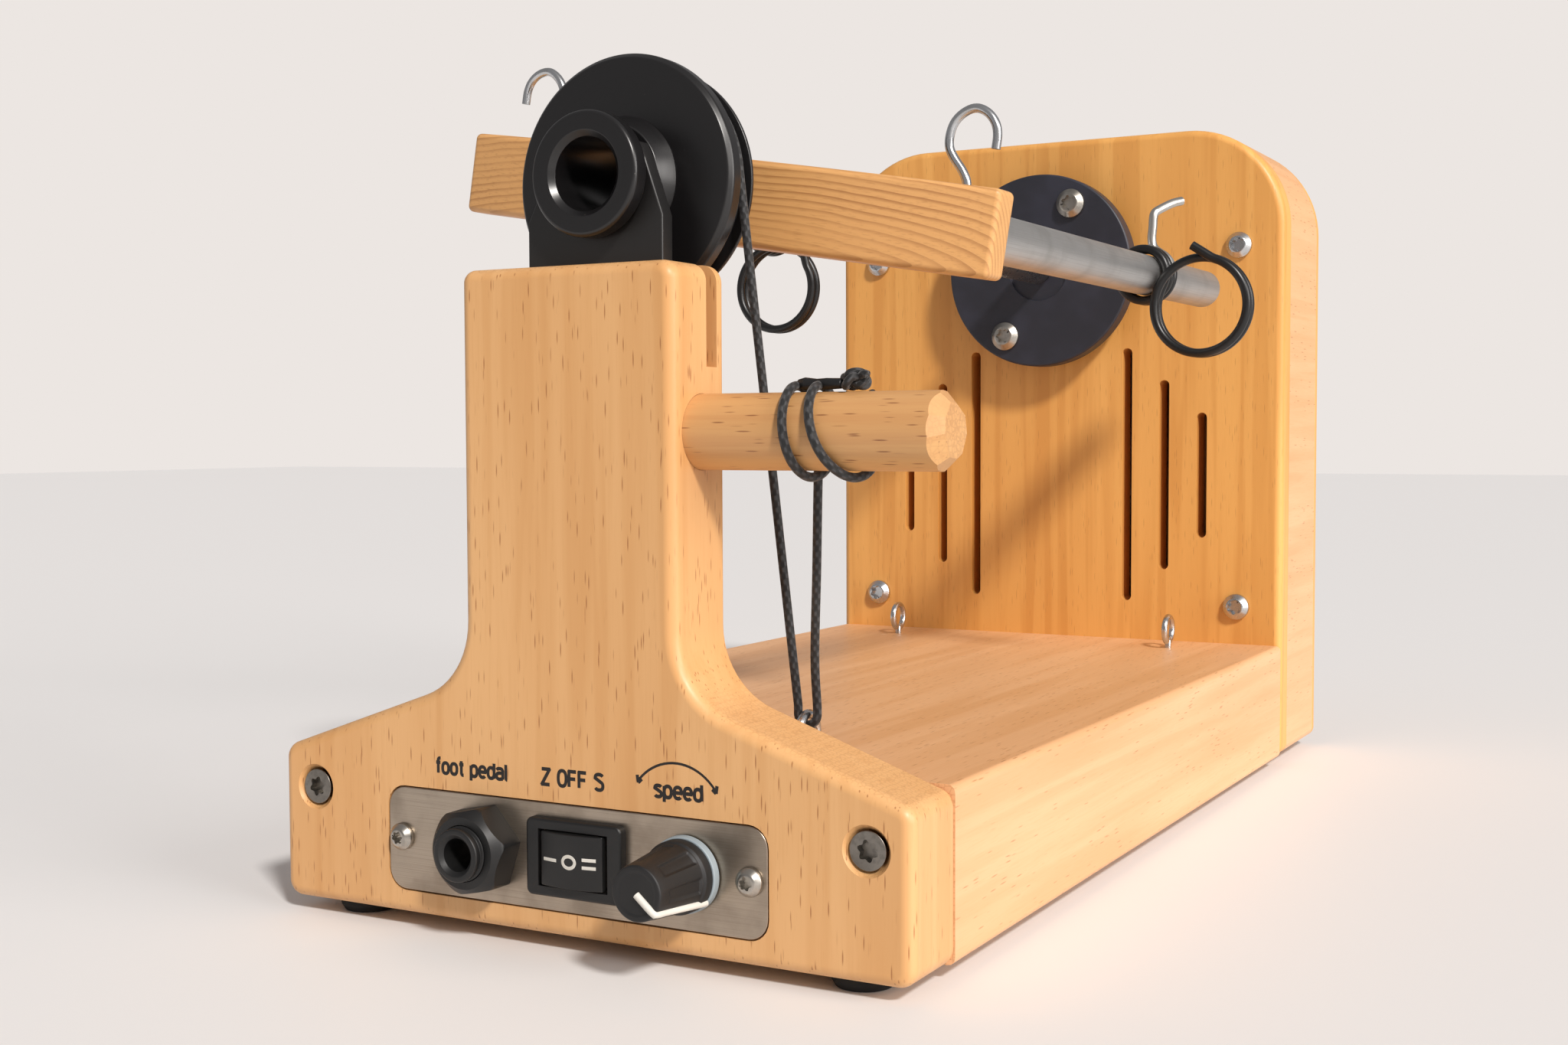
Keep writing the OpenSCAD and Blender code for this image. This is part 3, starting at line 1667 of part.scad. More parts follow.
module power_inlet() {
    z = bottom_z + inlet_h;
    color("black")
        difference() {
            union() {
                rod_y(inlet_x, z, cover_front_y - inlet_body_len, cover_front_y, 6);
                rod_y(inlet_x, z, cover_front_y - 0.01, back_y, inlet_bush_r);
            }
            rod_y(inlet_x, z, cover_front_y - inlet_body_len + 1.5, back_y + 1, inlet_hole_r);
        }
}

module power_inlet_pin() {
    z = bottom_z + inlet_h;
    pin_r = 1.05;
    color("silver")
        rod_y(inlet_x, z, cover_front_y - inlet_body_len + 1.5, back_y - 1.5, pin_r);
}

// The leads between the controller and the motor, the inlet and the controls
rear_socket_y = pcb_y + pcb_len - 1;
socket_z = pcb_z + pcb_t + 2.5;
passage_z = inner_floor_z + passage_h / 2;
motor_lead_points = [
    [-4, rear_socket_y, socket_z],
    [-4, rear_socket_y + 12, socket_z],
    [-4, rear_socket_y + 40, socket_z + 1],
    [-4, box_front_y - 30, passage_z],
    [-4, box_front_y - 4, passage_z],
    [-4, panel_back_y + 2, passage_z + 1],
    [-4, panel_back_y + 8, passage_z + 6],
    [-4, panel_back_y + 11, passage_z + 16],
    [-4, panel_back_y + 11, motor_z - motor_r - 1]
];
inlet_lead_points = [
    [14, rear_socket_y, socket_z],
    [14, rear_socket_y + 14, socket_z],
    [12, rear_socket_y + 44, socket_z + 1],
    [6, box_front_y - 30, passage_z],
    [5, box_front_y - 4, passage_z],
    [6, panel_back_y + 2, passage_z],
    [11, panel_back_y + 7, passage_z + 1],
    [21, panel_back_y + 10, passage_z + 2],
    [32, panel_back_y + 11, bottom_z + inlet_h - 2],
    [38, panel_back_y + 13, bottom_z + inlet_h],
    [inlet_x, panel_back_y + 17, bottom_z + inlet_h],
    [inlet_x, cover_front_y - inlet_body_len, bottom_z + inlet_h]
];

function control_lead_points(x0, x1, end_y) =
    [
        [x0, pcb_y + 1, socket_z],
        [x0, pcb_y - 6, socket_z],
        [x0 + (x1 - x0) * 0.3, pcb_y - 24, socket_z - 1],
        [x0 + (x1 - x0) * 0.75, pcb_y - 46, socket_z],
        [x1, end_y + 10, control_z],
        [x1, end_y, control_z]
    ];

module inner_leads() {
    color("firebrick") {
        tube(motor_lead_points, lead_r);
        tube(inlet_lead_points, lead_r);
        tube(
            control_lead_points(-18, -jack_x, front_y + plate_t + jack_body_len),
            lead_r
        );
        tube(control_lead_points(0, switch_x, front_y + switch_body_len), lead_r);
        tube(control_lead_points(18, knob_x, front_y + plate_t + pot_len), lead_r);
    }
}

// The origin is the middle of the whole footprint, which the right guide's ring widens
module seated() {
    translate([-origin_x, 0, 0])
        children();
}

seated() front_board();
seated() base_body();
seated() bottom_cover();
seated() bottom_cover_screws();
seated() rubber_feet();
seated() front_board_screws();
seated() motor_box_housing();
seated() motor_box_front_panel();
seated() front_panel_screws();
seated() motor_box_back_cover();
seated() back_cover_screws();
seated() control_plate();
seated() control_plate_screws();
seated() jack_body();
seated() jack_nut();
seated() switch_housing();
seated() switch_rocker();
seated() speed_pot();
seated() pot_nut();
seated() pot_shaft();
seated() speed_knob();
seated() knob_collar();
seated() bearing_fork();
seated() tension_peg();
seated() peg_end_screw();
seated() peg_cord_turns();
seated() peg_cord_sleeve();
seated() peg_cord_knot();
seated() brake_cord();
seated() cord_ferrule();
seated() front_cord_eyes();
seated() rear_cord_eyes();
seated() orifice_tube();
seated() flyer_pulley();
seated() flyer_bar();
seated() flyer_arm(1);  // flyer_arm_right
seated() flyer_arm(-1);  // flyer_arm_left
seated() flyer_shaft();
seated() flyer_hooks();
seated() guide_right();
seated() guide_left();
seated() drive_disc();
seated() drive_disc_screws();
seated() drive_spindle();
seated() driven_pulley();
seated() drive_belt();
seated() motor_pulley();
seated() motor_shaft();
seated() motor_body();
seated() motor_plate();
seated() motor_plate_standoffs();
seated() motor_screws();
seated() spindle_bearings();
seated() bearing_housing();
seated() controller_board();
seated() board_standoffs();
seated() power_inlet();
seated() power_inlet_pin();
seated() inner_leads();
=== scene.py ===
"""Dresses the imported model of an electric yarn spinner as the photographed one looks.

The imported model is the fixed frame. Wood is rebuilt with eased edges, turned pieces with fine
corners, and wires, cords and screws are made by Geometry Nodes. All lengths are in millimetres
until a mesh is made, and X, Y and Z are those of the model: right, back and up.
"""

from __future__ import annotations

import json
import logging
import math
from contextlib import contextmanager
from dataclasses import dataclass, field
from enum import Enum
from typing import Callable, Iterator, Sequence

import bmesh
import bpy
from mathutils import Matrix, Vector

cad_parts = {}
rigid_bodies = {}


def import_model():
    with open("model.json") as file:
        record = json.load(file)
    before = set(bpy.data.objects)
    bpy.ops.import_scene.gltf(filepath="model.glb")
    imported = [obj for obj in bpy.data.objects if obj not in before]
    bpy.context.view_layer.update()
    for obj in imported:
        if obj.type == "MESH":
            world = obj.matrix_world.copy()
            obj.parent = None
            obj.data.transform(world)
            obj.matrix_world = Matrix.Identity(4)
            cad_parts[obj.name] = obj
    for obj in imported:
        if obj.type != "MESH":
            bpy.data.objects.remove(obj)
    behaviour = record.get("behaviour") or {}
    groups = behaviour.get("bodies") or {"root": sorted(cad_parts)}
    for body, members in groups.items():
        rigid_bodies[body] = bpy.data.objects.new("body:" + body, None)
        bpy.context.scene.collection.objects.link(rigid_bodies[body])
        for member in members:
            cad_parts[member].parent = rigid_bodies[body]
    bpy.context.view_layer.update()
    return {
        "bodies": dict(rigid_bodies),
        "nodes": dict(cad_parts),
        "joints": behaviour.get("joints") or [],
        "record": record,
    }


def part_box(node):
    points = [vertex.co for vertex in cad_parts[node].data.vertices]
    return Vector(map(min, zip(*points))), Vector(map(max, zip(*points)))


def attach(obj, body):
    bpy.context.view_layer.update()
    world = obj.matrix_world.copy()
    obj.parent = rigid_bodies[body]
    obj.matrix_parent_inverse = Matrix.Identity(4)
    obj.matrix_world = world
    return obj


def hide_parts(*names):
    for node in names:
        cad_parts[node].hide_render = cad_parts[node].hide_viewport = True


logging.basicConfig(level=logging.INFO, format="%(message)s")
LOG = logging.getLogger("spinner")

MM = 0.001
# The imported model's origin is the middle of its footprint, right of the stand's middle plane
ORIGIN_X = 7.0
Point2 = tuple[float, float]
Point3 = tuple[float, float, float]
Corner = tuple[float, float, float]
Piece = bpy.types.Object
Node = bpy.types.Node
Socket = bpy.types.NodeSocket
Tree = bpy.types.NodeTree


class Body(Enum):
    """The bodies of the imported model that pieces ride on."""

    STAND = "stand"
    FLYER = "flyer"
    RIGHT_GUIDE = "right_guide"
    LEFT_GUIDE = "left_guide"
    DRIVE = "drive"
    PEG = "peg"
    ROCKER = "rocker"
    KNOB = "knob"


class Axis(Enum):
    """The direction in which a slab is thick or about which a piece is turned."""

    X = 0
    Y = 1
    Z = 2


# --------------------------------------------------------------------------------------------
# Node trees and finishes
# --------------------------------------------------------------------------------------------


def linear(code: str) -> tuple[float, float, float, float]:
    """Turns an sRGB colour, such as "#e0ae76", into the linear colour that shaders read.

    Args:
        code: The colour's sRGB code.

    Returns:
        Red, green and blue, and full cover.
    """
    values = [int(code[i : i + 2], 16) / 255 for i in (1, 3, 5)]
    toned = [v / 12.92 if v <= 0.04045 else ((v + 0.055) / 1.055) ** 2.4 for v in values]
    return (toned[0], toned[1], toned[2], 1.0)


def feed(tree: Tree, node: Node, inputs: dict) -> Node:
    """Fills or links a node's inputs.

    Args:
        tree: The node's tree.
        node: The node.
        inputs: Socket names or numbers, each with a value or with the socket to link from.

    Returns:
        The node.
    """
    for key, value in inputs.items():
        if isinstance(value, Socket):
            tree.links.new(value, node.inputs[key])
        else:
            node.inputs[key].default_value = value
    return node


def add_node(tree: Tree, kind: str, inputs: dict | None = None, **settings: object) -> Node:
    """Adds a node, sets its options, and fills or links its inputs.

    Args:
        tree: The tree that gets the node.
        kind: The node's type name.
        inputs: What feed() takes.
        **settings: The node's own options.

    Returns:
        The new node.
    """
    node = tree.nodes.new(kind)
    for name, value in settings.items():
        setattr(node, name, value)
    return feed(tree, node, inputs or {})


class Recipe:
    """A material's tree, with one short call for each kind of step that the finishes share."""

    def __init__(self, tree: Tree) -> None:
        """Starts the tree with its shader and its output.

        Args:
            tree: The material's tree.
        """
        self.tree = tree
        tree.nodes.clear()
        self.shader = self.node("BsdfPrincipled")
        self.node("OutputMaterial", {"Surface": self.shader.outputs["BSDF"]})

    def node(self, kind: str, inputs: dict | None = None, **settings: object) -> Node:
        """Adds a shader node, named without its prefix."""
        return add_node(self.tree, "ShaderNode" + kind, inputs, **settings)

    def maths(self, operation: str, first: object, second: object = 0.0) -> Socket:
        """Does one sum on two values."""
        return self.node("Math", {0: first, 1: second}, operation=operation).outputs[0]

    def times(self, first: object, second: object) -> Socket:
        """Multiplies two values."""
        return self.maths("MULTIPLY", first, second)

    def plus(self, first: object, second: object) -> Socket:
        """Adds two values."""
        return self.maths("ADD", first, second)

    def vector(self, operation: str, first: Socket, second: object) -> Socket:
        """Does one sum on two vectors."""
        return self.node("VectorMath", {0: first, 1: second}, operation=operation).outputs[0]

    def place(self, size: Point3, centre: Point3 = (0, 0, 0), tilt: float = 0.0) -> Socket:
        """Gives object coordinates counted in pattern sizes.

        Args:
            size: The length of one unit of the pattern along X, Y and Z.
            centre: The pattern's origin in the stand.
            tilt: How far the pattern is turned about Y, in degrees.

        Returns:
            The stretched coordinates.
        """
        start = ((centre[0] - ORIGIN_X) * MM, centre[1] * MM, centre[2] * MM)
        at = self.vector("SUBTRACT", self.node("TexCoord").outputs["Object"], start)
        if tilt:
            turn = {"Vector": at, "Axis": (0, 1, 0), "Angle": math.radians(-tilt)}
            at = self.node("VectorRotate", turn, rotation_type="AXIS_ANGLE").outputs[0]
        return self.vector("MULTIPLY", at, tuple(1 / (s * MM) for s in size))

    def noise(self, at: Socket, detail: float = 2.0, distortion: float = 0.0) -> Node:
        """Adds cloudy noise over stretched coordinates."""
        inputs = {"Vector": at, "Scale": 1.0, "Detail": detail, "Distortion": distortion}
        return self.node("TexNoise", inputs)

    def clouds(self, size: Point3, detail: float = 2.0) -> Socket:
        """Gives the value of cloudy noise with spots of a size."""
        return self.noise(self.place(size), detail).outputs["Fac"]

    def band(
        self, value: Socket, low: float, high: float, start: float = 0.0, end: float = 1.0
    ) -> Socket:
        """Maps a value's range from low to high onto start to end, smoothly and clamped.

        Args:
            value: The value.
            low: The low end of its range.
            high: The high end.
            start: What the low end becomes.
            end: What the high end becomes.

        Returns:
            The socket with the mapped value.
        """
        inputs = {
            "Value": value, "From Min": low, "From Max": high, "To Min": start, "To Max": end,
        }
        smooth = {"interpolation_type": "SMOOTHSTEP", "clamp": True}
        return self.node("MapRange", inputs, **smooth).outputs[0]

    def blend(self, share: Socket, first: Socket | str, second: Socket | str) -> Socket:
        """Mixes two colours, each a socket or an sRGB code, by a share."""
        one, two = (linear(c) if isinstance(c, str) else c for c in (first, second))
        return self.node("Mix", {0: share, 6: one, 7: two}, data_type="RGBA").outputs[2]

    def shade(self, height: Socket, depth: float, strength: float, inputs: dict) -> None:
        """Feeds the shader.

        Args:
            height: A socket that runs from 0 to 1, for the relief.
            depth: The depth of the relief in millimetres.
            strength: How much of it shows.
            inputs: The shader's other inputs.
        """
        relief = self.node(
            "Bump", {"Height": height, "Distance": depth * MM, "Strength": strength}
        )
        feed(self.tree, self.shader, {"Normal": relief.outputs["Normal"], **inputs})


@dataclass(frozen=True)
class Finish:
    """A surface finish, which makes its material once and hands it out after that."""

    name: str

    def material(self) -> bpy.types.Material:
        """Gives the finish's material, made on the first call."""
        found = bpy.data.materials.get(self.name)
        if found is None:
            found = bpy.data.materials.new(self.name)
            found.use_nodes = True
            self.dress(Recipe(found.node_tree))
        return found

    def dress(self, recipe: Recipe) -> None:
        """Builds the finish's pattern into a recipe."""
        raise NotImplementedError


@dataclass(frozen=True)
class Beech(Finish):
    """Lacquered beech: pale and even, with short brown ray flecks along the grain.

    The flecks are what tells beech from other pale woods. Across the end grain they are dots,
    and the growth rings show there as fine hatching.
    """

    pale: str = "#e0ae76"
    warm: str = "#cf975c"
    fleck: str = "#a26a3b"
    grain: Axis = Axis.Z
    fleck_share: float = 0.6
    ring_share: float = 0.35
    roughness: float = 0.4

    def stretched(self, across: float, along: float) -> Point3:
        """Gives a pattern's size with the long way along the grain.

        Args:
            across: The size across the grain.
            along: The size along it.

        Returns:
            The size along X, Y and Z.
        """
        size = [across, across, across]
        size[self.grain.value] = along
        return (size[0], size[1], size[2])

    def dress(self, recipe: Recipe) -> None:
        """Builds tone, growth rings, fibres, flecks and end grain.

        Args:
            recipe: The recipe of its material.
        """
        band, times = recipe.band, recipe.times
        # Broad, soft differences of tone, about 18 mm across
        tone = recipe.clouds(self.stretched(18, 160), 3.0)
        # Growth rings, about 5 mm apart, that wander slowly
        ring_place = recipe.place(self.stretched(4.5, 120), (31, 17, 11))
        rings = recipe.noise(ring_place, distortion=0.6).outputs["Fac"]
        fibres = recipe.clouds(self.stretched(0.35, 9))
        # Ray flecks: most long cells hold one, 0.3 mm by 1 to 2 mm
        wander = recipe.noise(recipe.place(self.stretched(6, 30))).outputs["Color"]
        cells = recipe.vector("ADD", recipe.place(self.stretched(0.66, 6.2)), wander)
        flecks = recipe.node("TexVoronoi", {"Vector": cells, "Scale": 1.0}).outputs
        chance = recipe.node("SeparateColor", {0: flecks["Color"]}).outputs[0]
        mark = times(band(flecks["Distance"], 0.1, 0.3, 1.0, 0.0), band(chance, 0.2, 0.7))
        ring_mix = times(band(rings, 0.42, 0.62), self.ring_share)
        tone_mix = times(band(tone, 0.3, 0.7), 0.5)
        colour = recipe.blend(recipe.plus(ring_mix, tone_mix), self.pale, self.warm)
        colour = recipe.blend(times(band(fibres, 0.5, 0.75), 0.22), colour, self.warm)
        colour = recipe.blend(times(mark, self.fleck_share), colour, self.fleck)
        # End grain: where the face looks along the grain
        normal = recipe.node("TexCoord").outputs["Normal"]
        facing = recipe.node("SeparateXYZ", {0: normal}).outputs[self.grain.value]
        end = band(recipe.maths("ABSOLUTE", facing), 0.55, 0.95)
        pores = {"Vector": recipe.place((1.1, 1.1, 1.1)), "Scale": 1.0, "Randomness": 0.55}
        pores = recipe.node("TexVoronoi", pores, feature="DISTANCE_TO_EDGE")
        hatch = band(pores.outputs["Distance"], 0.02, 0.14, 0.4, 0.0)
        end_colour = recipe.blend(hatch, self.pale, self.fleck)
        height = recipe.maths("SUBTRACT", times(fibres, 0.4), mark)
        lacquer = {
            "Base Color": recipe.blend(times(end, 0.6), colour, end_colour),
            "Roughness": recipe.plus(self.roughness, times(fibres, 0.12)),
            "IOR": 1.5, "Coat Weight": 0.12, "Coat Roughness": 0.3,
        }
        recipe.shade(height, 0.03, 0.5, lacquer)


@dataclass(frozen=True)
class FiguredWood(Finish):
    """Flat-sawn softwood-like bar: strong brown growth lines that run along it.

    The lines are cuts through the rings of a stem that leans a little to the bar, so they draw
    long arches near its right end.
    """

    pale: str = "#dca567"
    line: str = "#965f30"
    centre: Point3 = (0, 0, 0)
    tilt: float = 0.0
    ring_gap: float = 1.35

    def dress(self, recipe: Recipe) -> None:
        """Builds the rings, the lines' own tone and the fibres.

        Args:
            recipe: The recipe of its material.
        """
        lean = (0, math.radians(3.2), math.radians(2.4))
        at = recipe.place((1, 1, 1), self.centre, self.tilt)
        stem = {"Vector": at, "Location": (0, 14, 17), "Rotation": lean}
        ring_count = {
            "Vector": recipe.node("Mapping", stem).outputs[0],
            # The wave's own count is 20 to 2 pi
            "Scale": 2 * math.pi / (20 * self.ring_gap),
            "Distortion": 2.6, "Detail": 3.0, "Detail Scale": 0.2,
        }
        sawn = {"wave_type": "RINGS", "rings_direction": "X", "wave_profile": "SAW"}
        wave = recipe.node("TexWave", ring_count, **sawn).outputs["Fac"]
        lines = recipe.band(wave, 0.45, 1.0)
        tone, fibres = (
            recipe.noise(recipe.place(size, self.centre, self.tilt), detail).outputs["Fac"]
            for size, detail in (((60, 9, 9), 3.0), ((9, 0.3, 0.3), 2.0))
        )
        mix = recipe.times(lines, recipe.band(tone, 0.3, 0.7, 0.2, 0.7))
        colour = recipe.blend(mix, self.pale, self.line)
        colour = recipe.blend(recipe.times(recipe.band(fibres, 0.5, 0.8), 0.3), colour, self.line)
        oil = {"Base Color": colour, "Roughness": 0.46, "Coat Weight": 0.1, "Coat Roughness": 0.35}
        recipe.shade(recipe.plus(lines, fibres), 0.03, 0.4, oil)


@dataclass(frozen=True)
class TurnedBlack(Finish):
    """Black acetal turned on a lathe: satin, with faint tool rings and a little dust."""

    colour: str = "#141314"
    dust: str = "#6d6a66"
    centre: Point3 = (0, 0, 146.5)
    roughness: float = 0.26

    def dress(self, recipe: Recipe) -> None:
        """Builds the tool rings about the spinning axis and the specks of dust.

        Args:
            recipe: The recipe of its material.
        """
        flat = recipe.place((1, 1e6, 1), self.centre)
        far = recipe.node("VectorMath", {0: flat}, operation="LENGTH").outputs["Value"]
        # Tool rings, 0.35 mm apart
        count = {"W": recipe.times(far, 2.8), "Scale": 1.0, "Detail": 2.0}
        rings = recipe.node("TexNoise", count, noise_dimensions="1D").outputs["Fac"]
        specks = {"Vector": recipe.place((1.6, 1.6, 1.6)), "Scale": 1.0}
        specks = recipe.node("TexVoronoi", specks).outputs
        chance = recipe.node("SeparateColor", {0: specks["Color"]}).outputs[1]
        spot = recipe.band(specks["Distance"], 0.03, 0.1, 1.0, 0.0)
        dot = recipe.times(spot, recipe.band(chance, 0.75, 0.95))
        satin = {
            "Base Color": recipe.blend(recipe.times(dot, 0.55), self.colour, self.dust),
            "Roughness": recipe.plus(self.roughness, recipe.times(rings, 0.08)),
            "IOR": 1.56,
        }
        recipe.shade(rings, 0.012, 0.35, satin)


@dataclass(frozen=True)
class Moulded(Finish):
    """Moulded plastic, rubber or paint: an even colour with a fine spark-eroded grain."""

    colour: str
    second: str
    roughness: float = 0.45
    grain: float = 0.3
    depth: float = 0.02

    def dress(self, recipe: Recipe) -> None:
        """Builds the grain and a slow change of tone.

        Args:
            recipe: The recipe of its material.
        """
        grain = recipe.clouds((self.grain, self.grain, self.grain))
        tone = recipe.clouds((11, 11, 11), 3.0)
        even = {
            "Base Color": recipe.blend(recipe.band(tone, 0.35, 0.7), self.colour, self.second),
            "Roughness": recipe.plus(self.roughness, recipe.times(tone, 0.08)),
            "IOR": 1.5,
        }
        recipe.shade(grain, self.depth, 0.4, even)


@dataclass(frozen=True)
class Metal(Finish):
    """Bare or plated metal, brushed or drawn along one way, with faint smudges."""

    colour: str
    stain: str
    roughness: float = 0.3
    brushed: Point3 = (1.0, 1.0, 1.0)
    depth: float = 0.008

    def dress(self, recipe: Recipe) -> None:
        """Builds the brush lines and the smudges.

        Args:
            recipe: The recipe of its material.
        """
        band, times = recipe.band, recipe.times
        lines = recipe.clouds(self.brushed, 3.0)
        smudge = recipe.clouds((9, 9, 9), 4.0)
        colour = recipe.blend(times(band(smudge, 0.4, 0.75), 0.6), self.colour, self.stain)
        base = recipe.plus(self.roughness - 0.08, times(smudge, 0.1))
        bare = {
            "Base Color": recipe.blend(times(band(lines, 0.45, 0.7), 0.35), colour, self.stain),
            "Metallic": 1.0,
            "Roughness": recipe.plus(times(lines, 0.16), base),
        }
        recipe.shade(lines, self.depth, 0.5, bare)


@dataclass(frozen=True)
class SpringWire(Finish):
    """Black lacquered spring wire whose bent thumb lever is painted as bright, bare steel: its bare
    cut end, with painted highlights along the rest of the lever.
    """

    lacquer: str = "#131314"
    bare: str = "#c4c2bd"
    bare_and_highlight_from: float = 1e3
    fade: float = 3.0

    def dress(self, recipe: Recipe) -> None:
        """Builds the lacquer and the bright bare end, partly a painted highlight, from the length
        along the wire.

        Args:
            recipe: The recipe of its material.
        """
        along = recipe.node("Attribute", attribute_name="along").outputs["Fac"]
        noise = recipe.clouds((2.5, 2.5, 2.5), 3.0)
        edge = recipe.plus(along, recipe.times(noise, self.fade * MM))
        # The last stretch is painted bright bare steel: the bare cut end, and painted highlights
        # along the rest of the thumb lever
        bare_and_highlight = recipe.band(edge, self.bare_and_highlight_from * MM, (self.bare_and_highlight_from + self.fade) * MM)
        wire = {
            "Base Color": recipe.blend(bare_and_highlight, self.lacquer, self.bare),
            "Metallic": bare_and_highlight,
            "Roughness": recipe.plus(0.28, recipe.times(noise, 0.12)),
        }
        recipe.shade(noise, 0.02, 0.3, wire)


@dataclass(frozen=True)
class BraidedElastic(Finish):
    """Round braided elastic: strands cross in slanting stitches, dull black, with painted shade in
    the valleys between them and painted grey highlights on their tops.
    """

    strand: str = "#1d1d1f"
    painted_valley_shade: str = "#070708"
    painted_highlight_colour: str = "#4a4a4d"
    stitch: float = 1.15
    strands: float = 4.0

    def dress(self, recipe: Recipe) -> None:
        """Builds the braid, with its painted shade and highlights, from the place along and around
        the cord.

        Args:
            recipe: The recipe of its material.
        """
        along = recipe.node("Attribute", attribute_name="along").outputs["Fac"]
        around = recipe.node("Attribute", attribute_name="around").outputs["Vector"]
        parts = recipe.node("SeparateXYZ", {0: around}).outputs
        turn = recipe.times(recipe.maths("ARCTAN2", parts[1], parts[0]), self.strands)
        run = recipe.times(along, math.pi / (self.stitch * MM))
        one, two = (
            recipe.maths("SINE", recipe.maths(way, turn, run)) for way in ("ADD", "SUBTRACT")
        )
        height = recipe.band(recipe.times(recipe.plus(one, two), 0.5), -0.8, 0.8)
        # Painted shade: the valleys between the strands are darkened towards near black
        colour = recipe.blend(height, self.painted_valley_shade, self.strand)
        # Painted highlight: the tops of the strands are lightened towards grey
        painted_highlight_share = recipe.band(height, 0.75, 1.0, 0.0, 0.45)
        braid = {
            "Base Color": recipe.blend(painted_highlight_share, colour, self.painted_highlight_colour),
            "Roughness": 0.62, "Sheen Weight": 0.2, "Sheen Roughness": 0.5,
        }
        recipe.shade(height, 0.12, 0.8, braid)


class Palette:
    """Every finish of the spinner, named for what it is."""

    board = Beech("lacquered_beech_upright", fleck_share=0.85)
    # A paler, less orange copy of the beech, painted light: the base's top and right side and the
    # box's side face the lamps, and this copy paints the paler look of the lit wood there
    lengthwise_painted_lit = Beech("lacquered_beech_lengthwise", "#e9b788", "#d79f6a", grain=Axis.Y)
    panel = Beech(
        "lacquered_beech_panel", "#ecaf60", "#d8974b", "#9b6531", fleck_share=0.3, ring_share=0.55
    )
    peg = Beech("oiled_beech_dowel", "#d4a269", "#c18854", "#875430", Axis.X, 0.85)
    bar = FiguredWood("figured_bar_wood", centre=(0, -88, 146.5), tilt=9.4)
    turned = TurnedBlack("turned_black_acetal")
    fork = TurnedBlack("milled_black_acetal", "#1a1919", roughness=0.34)
    disc = Moulded("painted_blue_black", "#262730", "#2e2f3b", 0.42, 0.5)
    moulded = Moulded("moulded_black_nylon", "#111112", "#191919", 0.4)
    glossy = Moulded("gloss_black_abs", "#121213", "#18181a", 0.24, depth=0.006)
    soft_black = Moulded("soft_touch_black", "#151516", "#1e1d1e", 0.5)
    pale_grey = Moulded("pale_grey_nylon", "#8f9ba2", "#9ba6ab", 0.4)
    rubber = Moulded("black_foot_rubber", "#141414", "#1d1c1b", 0.8)
    sleeve = Moulded("black_shrink_sleeve", "#151516", "#1e1e20", 0.38)
    white_ink = Moulded("white_ink", "#d9d6ce", "#cfcbc1", 0.5)
    black_ink = Moulded("black_ink", "#191513", "#211b18", 0.5)
    board_green = Moulded("solder_mask_green", "#1d5b36", "#17482b", 0.4)
    nylon = Moulded("white_nylon", "#dcdbd4", "#cfcdc4", 0.5)
    lead = Moulded("red_lead_sleeving", "#8c1d17", "#7b1813")
    plate = Metal("brushed_stainless", "#b7a999", "#847769", 0.31, (22, 0.6, 0.12))
    arm = Metal("drawn_aluminium", "#c3c2c0", "#a2a09d", 0.42, (0.3, 25, 0.3))
    zinc = Metal("bright_zinc", "#cfd1d4", "#b4b3b0", 0.2, depth=0.0006)
    nickel = Metal("nickel_screws", "#b8b3ab", "#8b867f", 0.26)
    oiled_steel = Metal("phosphated_screws", "#8f8a83", "#5f5b56", 0.34)
    ground = Metal("ground_steel", "#b9b9b8", "#9a9a99", 0.24)
    cord = BraidedElastic("braided_black_elastic")


# --------------------------------------------------------------------------------------------
# Meshes
# --------------------------------------------------------------------------------------------


def polar(r: float, degrees: float, centre: Point2 = (0, 0)) -> Point2:
    """Gives the point at a distance and an angle from a centre."""
    a = math.radians(degrees)
    return (centre[0] + r * math.cos(a), centre[1] + r * math.sin(a))


def corner_arc(a: Point2, p: Point2, b: Point2, r: float, n: int) -> list[Point2]:
    """Rounds the corner at p between the lines to a and to b.

    Args:
        a: The corner before.
        p: The corner itself.
        b: The corner after.
        r: The rounding's radius.
        n: The number of steps in the arc.

    Returns:
        The arc's points.
    """
    if r <= 0:
        return [p]
    u = (Vector(a) - Vector(p)).normalized()
    v = (Vector(b) - Vector(p)).normalized()
    half = math.acos(max(-1.0, min(1.0, u.dot(v)))) / 2
    c = Vector(p) + (u + v).normalized() * (r / math.sin(half))
    s = Vector(p) + u * (r / math.tan(half)) - c
    e = Vector(p) + v * (r / math.tan(half)) - c
    start = math.degrees(math.atan2(s.y, s.x))
    turn = math.degrees(math.atan2(s.x * e.y - s.y * e.x, s.dot(e)))
    return [polar(r, start + turn * i / n, c) for i in range(n + 1)]


def rounded(corners: Sequence[Corner], n: int = 8) -> list[Point2]:
    """Gives an outline of corners, each rounded by its own radius.

    Args:
        corners: Each corner's two coordinates and its radius.
        n: The number of steps in each arc.

    Returns:
        The outline's points.
    """
    found: list[Point2] = []
    for i, p in enumerate(corners):
        after = corners[(i + 1) % len(corners)]
        found += corner_arc(corners[i - 1][:2], p[:2], after[:2], p[2], n)
    return found


def rectangle(
    u0: float, v0: float, u1: float, v1: float, r: float = 0.0, n: int = 6
) -> list[Point2]:
    """Gives a rectangle with rounded corners as an outline."""
    return rounded([(u0, v0, r), (u1, v0, r), (u1, v1, r), (u0, v1, r)], n)


